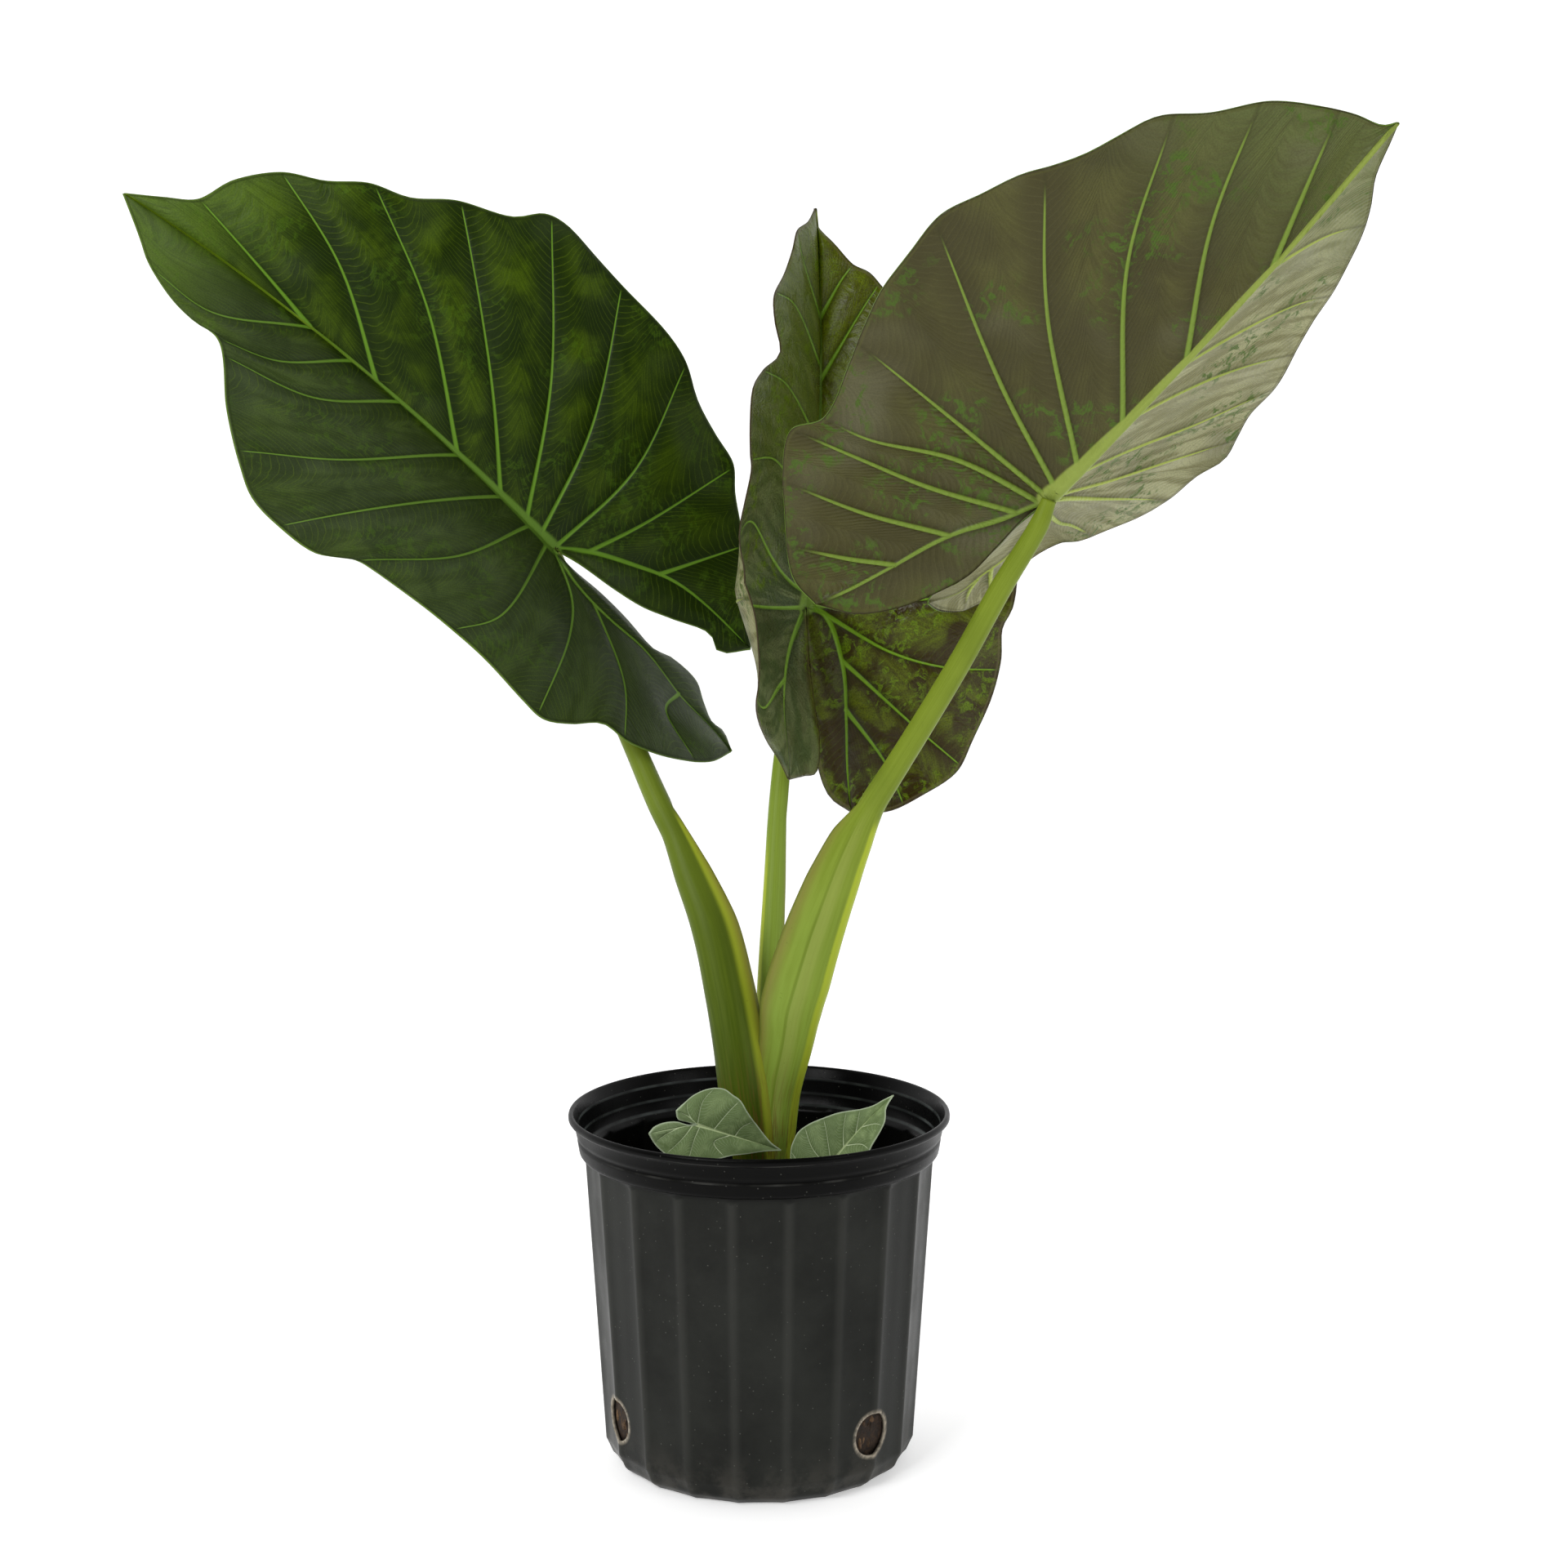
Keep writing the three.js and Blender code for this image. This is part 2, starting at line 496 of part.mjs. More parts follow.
// Rows of a half blade from the tip to the lobe, each with its root, its margin end and its shape
function bladeRows(blade, frame, side, spacing) {
  const half = blade.halves[side > 0 ? 0 : 1];
  const tip = [0, frame.length];
  const outline = curveThrough([tip, ...half.outline, half.lobe]);
  const rib = curveThrough([[0, 0], ...half.rib, half.lobe]);
  const ribLength = rib.getLength();
  const rootAt = (s) => (s >= 0
    ? new THREE.Vector3(side * foldLine(blade, half, frame.length, s), s, 0)
    : rib.getPointAt(Math.min(1, -s / ribLength)));
  const nearest = (point) => {
    let best = 0;
    let least = Infinity;
    for (let i = 0; i <= 400; i++) {
      const d = outline.getPointAt(i / 400).distanceTo(point);
      if (d < least) [best, least] = [i / 400, d];
    }
    return best;
  };
  const guides = [{ from: frame.length, edge: 0, line: () => new THREE.Vector3(...tip, 0) }];
  for (const [from, ...via] of half.veins) {
    const edge = nearest(new THREE.Vector3(...via.at(-1), 0));
    const root = rootAt(from);
    const line = curveThrough([[root.x, root.y], ...via.slice(0, -1), outline.getPointAt(edge).toArray()]);
    guides.push({ from, edge, line: (s) => line.getPointAt(s) });
  }
  guides.push({ from: -ribLength, edge: 1, line: () => new THREE.Vector3(...half.lobe, 0) });
  const rows = [];
  for (let g = 0; g + 1 < guides.length; g++) {
    const [a, b] = [guides[g], guides[g + 1]];
    const last = g + 2 === guides.length;
    const count = Math.max(2, Math.round((b.edge - a.edge) * outline.getLength() / spacing));
    for (let i = 0; i < count + (last ? 1 : 0); i++) {
      const share = i / count;
      const from = lerp(a.from, b.from, share);
      const edge = lerp(a.edge, b.edge, share);
      const root = rootAt(from);
      const end = outline.getPointAt(edge);
      const at = (s) => {
        const pa = a.line(s);
        const pb = b.line(s);
        const point = pa.lerp(pb, share);
        const rootSlip = root.clone().sub(a.line(0).lerp(b.line(0), share)).multiplyScalar(1 - s);
        const endSlip = end.clone().sub(a.line(1).lerp(b.line(1), share)).multiplyScalar(s);
        return point.add(rootSlip).add(endSlip);
      };
      rows.push({ from, edge, share, at, vein: share === 0 && g > 0, root });
    }
  }
  return rows;
}

function makeBlade(blade, { spacing, columns, sinusColumns, thickness, midrib, vein, quilt }) {
  const frame = bladeFrame(blade);
  const points = [];
  const depths = [];
  const faces = [];
  const known = new Map();
  const add = (point, depth) => {
    const key = point.toArray().map((c) => Math.round(c * 1000)).join(' ');
    if (!known.has(key)) {
      known.set(key, points.length);
      points.push(point);
      depths.push(depth);
    }
    const index = known.get(key);
    depths[index] = Math.max(depths[index], depth);
    return index;
  };
  for (const side of [1, -1]) {
    const half = blade.halves[side > 0 ? 0 : 1];
    const face = (a, b, c) => {
      if (a === b || b === c || c === a) return;
      faces.push(side > 0 ? [a, c, b] : [a, b, c]);
    };
    const place = (flat, lift, depth) => add(bladePoint(blade, frame, side, flat.x, flat.y, lift), depth);
    const rows = bladeRows(blade, frame, side, spacing);
    const liftAt = (row, s) => quilt * Math.sin(Math.PI * row.share) * Math.sin(Math.PI * s) ** 0.7
      + blade.ripple * s ** 4 * Math.sin(2 * Math.PI * blade.waves * row.edge) * Math.sin(Math.PI * row.edge) ** 0.5;
    const grid = rows.map((row) => {
      const line = [];
      for (let c = 0; c <= columns; c++) {
        const s = 1 - (1 - c / columns) ** COLUMN_CROWDING;
        const depth = row.vein ? vein * (1 - s) ** 0.6 : 0;
        line.push(place(row.at(s), c === 0 ? 0 : liftAt(row, s), c === 0 ? ribDepth(row.from) : depth));
      }
      return line;
    });
    function ribDepth(from) {
      const reach = from >= 0 ? frame.length : -rows.at(-1).from;
      return midrib * (1 - 0.8 * Math.abs(from) / reach) * (from >= 0 ? 1 : 0.7);
    }
    const hubRow = rows.findIndex((row) => row.from <= 0);
    for (let r = 0; r + 1 < grid.length; r++) {
      for (let c = r < hubRow ? 1 : 0; c < columns; c++) {
        face(grid[r][c], grid[r + 1][c], grid[r + 1][c + 1]);
        face(grid[r][c], grid[r + 1][c + 1], grid[r][c + 1]);
      }
    }
    // A strip of triangles between the midrib's own stations and the first column of the rows
    const spine = [];
    for (let i = 0; i <= MIDRIB_STATIONS; i++) {
      const v = frame.length * (1 - i / MIDRIB_STATIONS);
      const flat = new THREE.Vector3(side * foldLine(blade, half, frame.length, v), v, 0);
      spine.push({ at: v, index: place(flat, 0, ribDepth(v)) });
    }
    const first = rows.slice(0, hubRow + 1).map((row, r) => ({ at: row.from, index: grid[r][1] }));
    let [i, j] = [0, 0];
    while (i < MIDRIB_STATIONS || j < first.length - 1) {
      const spineNext = i < MIDRIB_STATIONS ? spine[i + 1].at : -Infinity;
      const rowNext = j < first.length - 1 ? first[j + 1].at : -Infinity;
      if (spineNext >= rowNext) {
        face(spine[i].index, spine[i + 1].index, first[j].index);
        i++;
      } else {
        face(spine[i].index, first[j + 1].index, first[j].index);
        j++;
      }
    }
    // The strip of blade between the lobe's rib and the open sinus
    const sinus = curveThrough([half.lobe, ...half.sinus, [0, 0]]);
    const ribRows = rows.slice(hubRow);
    const reach = -rows.at(-1).from;
    const inner = ribRows.map((row, r) => {
      const margin = sinus.getPointAt(1 - Math.min(1, -row.from / reach));
      const line = [grid[hubRow + r][0]];
      for (let c = 1; c <= sinusColumns; c++) {
        line.push(place(row.root.clone().lerp(margin, c / sinusColumns), 0, 0));
      }
      return line;
    });
    for (let r = 0; r + 1 < inner.length; r++) {
      for (let c = 0; c < sinusColumns; c++) {
        face(inner[r][c], inner[r + 1][c + 1], inner[r + 1][c]);
        face(inner[r][c], inner[r][c + 1], inner[r + 1][c + 1]);
      }
    }
  }
  return thicken(points, depths, faces, thickness);
}

// Gives a sheet of triangles its thickness, deeper underneath along the ribs, and closes its margin
function thicken(points, depths, faces, thickness) {
  const normals = points.map(() => new THREE.Vector3());
  for (const [a, b, c] of faces) {
    const u = points[b].clone().sub(points[a]);
    const cross = u.cross(points[c].clone().sub(points[a]));
    for (const i of [a, b, c]) normals[i].add(cross);
  }
  normals.forEach((n) => n.normalize());
  const count = points.length;
  const top = points.map((p, i) => p.clone().addScaledVector(normals[i], thickness / 2));
  const bottom = points.map((p, i) => p.clone().addScaledVector(normals[i], -thickness / 2 - depths[i]));
  const shell = [];
  const edges = new Set();
  for (const [a, b, c] of faces) {
    shell.push([a, b, c], [a + count, c + count, b + count]);
    for (const [p, q] of [[a, b], [b, c], [c, a]]) edges.add(p * count + q);
  }
  for (const edge of edges) {
    const [p, q] = [Math.floor(edge / count), edge % count];
    if (!edges.has(q * count + p)) shell.push([q, p, p + count], [q, p + count, q + count]);
  }
  return geometryFrom([...top, ...bottom], shell);
}

const BIG = { spacing: 16, columns: 7, sinusColumns: 2, thickness: BLADE_THICKNESS, midrib: 3.4, vein: 1.3, quilt: 2.4 };
const SMALL = { spacing: 6, columns: 4, sinusColumns: 1, thickness: PUP_THICKNESS, midrib: 0.8, vein: 0.4, quilt: 0.7 };

// Corm and soil

function makeCorm(grow = 0) {
  const bottom = CORM_TOP - CORM_DEPTH;
  const profile = [
    [0, bottom - grow], [CORM_RADIUS * 0.55 + grow, bottom + 3 - grow], [CORM_RADIUS * 0.92 + grow, bottom + 20],
    [CORM_RADIUS + grow, bottom + 42], [CORM_RADIUS * 0.97 + grow, CORM_TOP - 4],
    [CORM_RADIUS * 0.85 + grow, CORM_TOP + grow], [0, CORM_TOP + grow],
  ];
  const corm = new THREE.LatheGeometry(profile.map(([r, z]) => new THREE.Vector2(r, z)), CORM_SIDES);
  corm.rotateX(radians(90));
  return solidFrom(corm);
}

function soilHeight(x, y) {
  const mound = 6 * Math.exp(-(x * x + y * y) / 1800);
  const lumps = Math.sin(x * 0.21 + 1.3) * Math.cos(y * 0.17 - 0.4) + 0.6 * Math.sin(x * 0.083 - y * 0.11);
  return SOIL_TOP + mound + SOIL_LUMPS * 0.5 * lumps;
}

function makeSoil() {
  const clear = FLUTE_DEPTH + GAP;
  const low = BASE_RADIUS - WALL - 1 - clear;
  const heel = HEEL_RADIUS - WALL - clear;
  const share = (SOIL_TOP - HEEL_HEIGHT) / (WALL_TOP_HEIGHT - HEEL_HEIGHT);
  const high = lerp(HEEL_RADIUS, WALL_TOP_RADIUS, share) - WALL - clear - 1;
  const ring = (r, heightAt) => {
    const points = [];
    for (let i = 0; i < SOIL_SIDES; i++) {
      const angle = 2 * Math.PI * i / SOIL_SIDES;
      const [x, y] = [r * Math.cos(angle), r * Math.sin(angle)];
      points.push(new THREE.Vector3(x, y, heightAt(x, y)));
    }
    return points;
  };
  const level = (z) => () => z;
  const rings = [ring(low, level(FLOOR + GAP)), ring(heel, level(HEEL_HEIGHT + 1 + GAP)), ring(high, soilHeight)];
  for (const r of [0.84, 0.66, 0.5, 0.36, 0.22]) rings.push(ring(r * high, soilHeight));
  const bottom = new THREE.Vector3(0, 0, FLOOR + GAP);
  const top = new THREE.Vector3(0, 0, soilHeight(0, 0));
  let soil = solidFrom(ringSolid(rings, bottom, top)).subtract(makeCorm(GAP));
  for (const name of ['pup_left', 'pup_right']) soil = soil.subtract(solidFrom(stemGeometry(stems[name], GAP)));
  return largestOf(soil);
}

// The whole plant in its pot

const plant = new THREE.Group();
plant.add(named('pot', geometryOf(makePot()), 'pot'));
plant.add(named('soil', geometryOf(makeSoil()), 'soil'));
plant.add(named('corm', geometryOf(makeCorm()), 'corm'));

// Each stem's foot clasps the ones before it, so it is cut back to leave a gap round them
const right = solidFrom(stemGeometry(stems.right));
const rightRoom = solidFrom(stemGeometry(stems.right, STEM_CLEARANCE));
const left = largestOf(solidFrom(stemGeometry(stems.left)).subtract(rightRoom));
const leftRoom = solidFrom(stemGeometry(stems.left, STEM_CLEARANCE));
const middle = largestOf(solidFrom(stemGeometry(stems.middle)).subtract(rightRoom).subtract(leftRoom));
plant.add(named('stem_right', geometryOf(right), 'stem'));
plant.add(named('stem_left', geometryOf(left), 'stem'));
plant.add(named('stem_middle', geometryOf(middle), 'stem'));
for (const name of ['pup_left', 'pup_right']) {
  plant.add(named(`stem_${name}`, geometryOf(solidFrom(stemGeometry(stems[name]))), 'stem'));
}

for (const [name, blade] of Object.entries(blades)) {
  const mesh = makeBlade(blade, name.startsWith('pup') ? SMALL : BIG);
  plant.add(named(`blade_${name}`, mesh, blade.material));
}

export default plant;
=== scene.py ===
# Looks of a potted alocasia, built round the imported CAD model. Lengths are in millimetres until a mesh
# is made, which gets metres. Colours are linear.

import bpy
import numpy as np
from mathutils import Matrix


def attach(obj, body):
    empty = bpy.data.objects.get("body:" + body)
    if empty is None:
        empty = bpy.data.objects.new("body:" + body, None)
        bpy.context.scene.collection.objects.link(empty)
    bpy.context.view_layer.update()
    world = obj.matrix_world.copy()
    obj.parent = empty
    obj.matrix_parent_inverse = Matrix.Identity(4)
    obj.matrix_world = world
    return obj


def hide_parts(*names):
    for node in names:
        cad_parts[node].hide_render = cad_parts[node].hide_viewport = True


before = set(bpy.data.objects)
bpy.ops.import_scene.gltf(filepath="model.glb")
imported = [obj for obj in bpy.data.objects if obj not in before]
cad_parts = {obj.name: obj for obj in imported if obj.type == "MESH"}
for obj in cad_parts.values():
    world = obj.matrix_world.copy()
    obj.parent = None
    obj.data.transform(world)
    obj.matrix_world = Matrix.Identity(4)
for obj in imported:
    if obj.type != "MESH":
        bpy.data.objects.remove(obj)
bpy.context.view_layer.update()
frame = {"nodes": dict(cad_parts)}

MM = 0.001

# Camera, fitted to the lip, wall and foot of the pot
EYE = (16.8, -1780, 701.5)
CAMERA_DOWN = 7.64
FOCAL = 61.875

# Light
DIM_ROOM = 0.1
WHITE_ROOM = 1.2
FLOOR_GLOW = 0.42
FLOOR_REACH = 12
LAMPS = dict(
    key=dict(place=(-1.4, -1.9, 2.0), wide=1.3, watts=46),
    fill=dict(place=(2.2, -1.6, 1.5), wide=1.2, watts=12),
)
LAMP_AIM = (0, 0, 0.5)

# Pot
RIM_RADIUS = 129
WALL_TOP_RADIUS = 118.4
WALL_TOP_HEIGHT = 212
HEEL_RADIUS = 106
HEEL_HEIGHT = 16
BASE_RADIUS = 94
WALL = 2.2
FLOOR = 3
FLUTES = 20
FLUTE_DEPTH = 2.2
FLUTE_TURN = 10
FLUTE_ROUND = 2.6
DRAIN_ANGLES = (-153, -45, 45, 135)
DRAIN_WIDTH = 28
DRAIN_HEIGHT = 29
DRAIN_CENTRE = 40
POT_COLUMNS = 480
# Points of the lip as how far they lie inside the rim, and their height, from the wall up, over and in
LIP = (
    (8.4, 213), (7.4, 214.4), (7, 216), (6.2, 221), (6, 222.4), (6.8, 223.4), (6.8, 224.6), (5.5, 225.8),
    (5, 228), (4.3, 233.6), (3.4, 235), (0.8, 236.1), (0.1, 237), (0, 238.4), (0.3, 239.8), (0.9, 240.7),
    (1.8, 241), (2.9, 240.6), (3.6, 239.4), (6.4, 233), (6.7, 232), (8.2, 223.2), (8.6, 222), (9.5, 216),
    (11, 214),
)
LIP_INSIDE_FROM = 18

# Soil and corm
SOIL_TOP = 166
SOIL_LUMPS = 3
CORM_TOP = 185
CORM_RADIUS = 23
CORM_DEPTH = 65
SOIL_COLUMNS = 120
LOOSE_CHIPS = 330
DRAIN_CHIPS = 16

# Blades
FOLD_REACH = 150
BIG = dict(
    thickness=0.9, quilt=4.2, stations=140, columns=36, sinus=14,
    rib=(5.2, 2.3, 0.6), rib_height=3.4, vein=(1.9, 0.5), vein_height=1.5, groove=0.35,
)
SMALL = dict(
    thickness=0.7, quilt=0.9, stations=50, columns=20, sinus=7,
    rib=(0.6, 0.5, 0.2), rib_height=0.7, vein=(0.5, 0.2), vein_height=0.35, groove=0.12,
)

# In a half blade, a point is (out, along) from the hub, as if the blade was pressed flat. The outline
# runs from the tip to the end of the basal lobe and the sinus from there to the hub. A vein starts at
# its place on the midrib or, below zero, on the lobe's own rib.
LEFT_HALVES = (
    dict(
        fold=(30, 24), bend=-14, lobe=(54, -159),
        outline=[
            (14, 355), (27, 337), (53, 327), (78, 306), (91, 279), (108, 256), (119, 230), (140, 204),
            (155, 167), (171, 152), (176, 137), (175, 106), (171, 70), (162, 14), (149, -12), (141, -39),
            (135, -61), (120, -76), (105, -98), (90, -120), (69, -147),
        ],
        sinus=[(35, -141), (39, -128), (26, -99), (16, -76), (10, -51), (5, -20)],
        rib=[(17, -22), (33, -53), (43, -75), (48, -93), (52, -125)],
        veins=[
            (224, [(16, 275), (29, 338)]), (167, [(51, 235), (76, 305)]), (93, [(67, 172), (109, 252)]),
            (52, [(55, 104), (138, 200)]), (27, [(85, 75), (172, 147)]), (13, [(80, 33), (171, 80)]),
            (0, [(80, -9), (158, 11)]), (-26, [(57, -38), (132, -62)]), (-82, [(97, -103)]),
        ],
    ),
    dict(
        fold=(34, 24), bend=-10, lobe=(26, -193),
        outline=[
            (31, 345), (43, 332), (58, 304), (63, 282), (63, 265), (113, 228), (144, 198), (162, 177),
            (169, 155), (170, 125), (151, 100), (148, 88), (145, 50), (147, 16), (149, -7), (152, -40),
            (151, -60), (136, -78), (113, -98), (110, -118), (99, -138), (82, -158), (54, -182),
        ],
        sinus=[
            (15, -180), (18, -168), (8, -155), (-6, -141), (-3, -115), (6, -101), (2, -70), (1, -45),
            (3, -20),
        ],
        rib=[(15, -26), (19, -60), (16, -96), (25, -139), (24, -170)],
        veins=[
            (224, [(47, 279), (46, 327)]), (189, [(47, 226), (63, 264)]), (146, [(54, 192), (76, 256)]),
            (92, [(86, 151), (136, 205)]), (51, [(77, 98), (166, 152)]), (23, [(86, 51), (146, 104)]),
            (6, [(105, 4), (141, 23)]), (0, [(33, -30), (67, -43), (148, -55)]),
            (-50, [(65, -95), (109, -116)]), (-140, [(52, -132), (66, -170)]),
        ],
    ),
)
MIDDLE_HALVES = (
    dict(
        fold=(30, 24), bend=-10, lobe=(46, -142),
        outline=[
            (1, 273), (13, 259), (27, 244), (39, 238), (51, 225), (80, 196), (110, 160), (132, 115),
            (145, 65), (149, 28), (146, 0), (140, -14), (142, -36), (139, -61), (128, -91), (119, -113),
            (98, -129), (75, -141),
        ],
        sinus=[(29, -131), (16, -103), (9, -66), (4, -32), (1, -14)],
        rib=[(14, -5), (30, -40), (36, -77), (40, -110)],
        veins=[
            (205, [(18, 232), (27, 244)]), (160, [(32, 209), (46, 230)]), (110, [(62, 160), (98, 176)]),
            (60, [(80, 100), (135, 108)]), (25, [(70, 50), (146, 60)]), (0, [(56, 3), (146, 12)]),
            (-14, [(64, -31), (104, -41), (140, -42)]), (-50, [(82, -79), (118, -107)]),
            (-85, [(68, -108), (84, -135)]),
        ],
    ),
    dict(
        fold=(52, 48), bend=0, curl=dict(at=-5, reach=70, bend=84, fold=-36), lobe=(70, -126),
        outline=[
            (14, 272), (32, 261), (41, 244), (54, 225), (74, 202), (73, 184), (64, 167), (89, 150),
            (107, 133), (112, 107), (108, 89), (102, 80), (104, 63), (109, 49), (124, 30), (141, 6),
            (143, -18), (141, -45), (145, -65), (150, -76), (113, -99), (84, -113),
        ],
        sinus=[(41, -122), (13, -117), (-2, -95), (-4, -60), (-3, -32)],
        rib=[(12, -23), (30, -53), (55, -84), (64, -106)],
        veins=[
            (205, [(24, 240), (32, 259)]), (170, [(40, 205), (72, 207)]), (115, [(52, 146), (90, 150)]),
            (60, [(60, 92), (106, 86)]), (10, [(13, 15), (82, 48), (124, 30)]),
            (0, [(27, -3), (58, -5), (142, -10)]), (-62, [(37, -57), (103, -80), (148, -76)]),
        ],
    ),
)
RIGHT_HALVES = (
    dict(
        fold=(26, 22), bend=-10, lobe=(69, -149),
        outline=[
            (6, 297), (22, 292), (40, 284), (70, 267), (92, 241), (112, 222), (123, 201), (133, 182),
            (144, 165), (154, 149), (163, 124), (174, 100), (175, 74), (172, 45), (162, 18), (152, -10),
            (144, -46), (154, -64), (139, -91), (125, -108), (100, -137), (88, -145),
        ],
        sinus=[(44, -138), (25, -118), (11, -92), (4, -72), (3, -44), (3, -20)],
        rib=[(12, -27), (31, -60), (45, -97), (58, -129)],
        veins=[
            (196, [(17, 244), (31, 287)]), (121, [(45, 193), (72, 264)]), (65, [(69, 147), (106, 228)]),
            (26, [(83, 91), (146, 160)]), (7, [(72, 38), (176, 96)]), (0, [(68, 2), (158, 5)]),
            (-6, [(60, -17), (111, -40), (145, -46)]), (-22, [(60, -42), (110, -55), (154, -64)]),
            (-67, [(80, -81), (136, -97)]), (-107, [(71, -112), (108, -128)]),
        ],
    ),
    dict(
        fold=(36, 30), bend=-14, lean=0.35, lobe=(22, -117),
        outline=[
            (12, 292), (30, 270), (50, 254), (80, 223), (101, 195), (108, 170), (116, 150), (139, 116),
            (145, 94), (155, 75), (162, 57), (151, 38), (154, 12), (149, -13), (125, -34), (112, -41),
            (93, -45), (86, -56), (86, -72), (91, -92), (93, -108), (84, -117), (74, -122), (48, -124),
            (30, -120),
        ],
        sinus=[(15, -110), (14, -101), (29, -96), (27, -74), (22, -54), (10, -34), (5, -18)],
        rib=[(20, -12), (37, -30), (52, -66), (49, -86), (46, -104)],
        veins=[
            (200, [(30, 225), (66, 245)]), (121, [(71, 177), (107, 193)]), (76, [(66, 118), (123, 150)]),
            (24, [(91, 74), (139, 120)]), (4, [(60, 18), (113, 45), (158, 74)]), (0, [(80, 2), (154, 12)]),
            (-28, [(65, -27), (82, -28), (123, -34)]), (-75, [(72, -68), (88, -72)]),
            (-100, [(70, -92), (92, -108)]), (-112, [(58, -104), (76, -122)]),
        ],
    ),
)
PUP_LEFT_HALVES = (
    dict(
        fold=(16, 16), bend=-60, lobe=(15, -29),
        outline=[(4, 48), (9, 37), (13, 27), (20, 14), (25, 1), (26, -11), (23, -19), (20, -24)],
        sinus=[(10, -27), (5, -21), (2, -13), (2, -6)],
        rib=[(3, -7), (8, -16)],
        veins=[
            (23, [(8, 13), (15, 22)]), (2, [(11, 0), (25, 0)]), (-3, [(11, -7), (24, -15)]),
            (-12, [(13, -19), (20, -24)]),
        ],
    ),
    dict(
        fold=(16, 16), bend=-60, lobe=(5, -16),
        outline=[
            (3, 51), (12, 37), (18, 28), (24, 21), (26, 15), (28, 9), (27, 3), (24, -3), (18, -9),
            (11, -13),
        ],
        sinus=[(0, -13), (0, -6)],
        rib=[(4, -8)],
        veins=[
            (26, [(7, 28), (14, 35)]), (11, [(14, 16), (24, 21)]), (0, [(16, -2), (27, 2)]),
            (-5, [(7, -9), (14, -12)]),
        ],
    ),
)
PUP_RIGHT_HALVES = (
    dict(
        fold=(20, 20), bend=-60, lobe=(12, -24),
        outline=[(4, 54), (10, 48), (14, 39), (17, 29), (21, 18), (23, 4), (21, -9), (17, -18)],
        sinus=[(7, -18), (2, -8)],
        rib=[(5, -8), (9, -17)],
        veins=[
            (34, [(7, 42), (12, 44)]), (18, [(10, 26), (18, 27)]), (0, [(12, 3), (23, 4)]),
            (-9, [(14, -12), (21, -10)]),
        ],
    ),
    dict(
        fold=(20, 20), bend=-60, lobe=(14, -24),
        outline=[
            (2, 57), (4, 50), (9, 42), (16, 33), (22, 23), (28, 12), (30, 4), (29, -2), (27, -8),
            (20, -17),
        ],
        sinus=[(7, -18), (2, -8)],
        rib=[(6, -8), (10, -17)],
        veins=[
            (28, [(5, 36), (9, 42)]), (16, [(8, 25), (15, 35)]), (3, [(14, 15), (23, 22)]),
            (0, [(16, 2), (29, 9)]), (-9, [(16, -11), (26, -9)]),
        ],
    ),
)

# hub and tip are the ends of the midrib, and face is where the upper side looks.
BLADES = dict(
    left=dict(
        hub=(-146, 125, 613), tip=(-433, 90, 856), face=(0.39, -0.85, 0.34),
        rise=14, droop=15, sway=6, lean=0.08, ripple=3, waves=5, size=BIG, halves=LEFT_HALVES,
    ),
    middle=dict(
        hub=(32, 125, 572), tip=(39, 178, 853), face=(0.27, -0.95, 0.17),
        rise=10, droop=12, sway=4, lean=0.34, ripple=3, waves=5, size=BIG, halves=MIDDLE_HALVES,
    ),
    right=dict(
        hub=(182, -100, 654), tip=(369, -200, 872), face=(-0.25, 0.78, 0.57),
        rise=-6, droop=15, sway=0, lean=0, ripple=3, waves=5, size=BIG, halves=RIGHT_HALVES,
    ),
    pup_left=dict(
        hub=(-40, -62, 246), tip=(15, -48, 225), face=(0.3, -0.94, 0.16),
        rise=3, droop=4, sway=0, lean=0, ripple=0.8, waves=3, size=SMALL, halves=PUP_LEFT_HALVES,
    ),
    pup_right=dict(
        hub=(46, -60, 217), tip=(89, -50, 263), face=(-0.3, -0.84, 0.45),
        rise=4, droop=4, sway=0, lean=0, ripple=0.8, waves=3, size=SMALL, halves=PUP_RIGHT_HALVES,
    ),
)

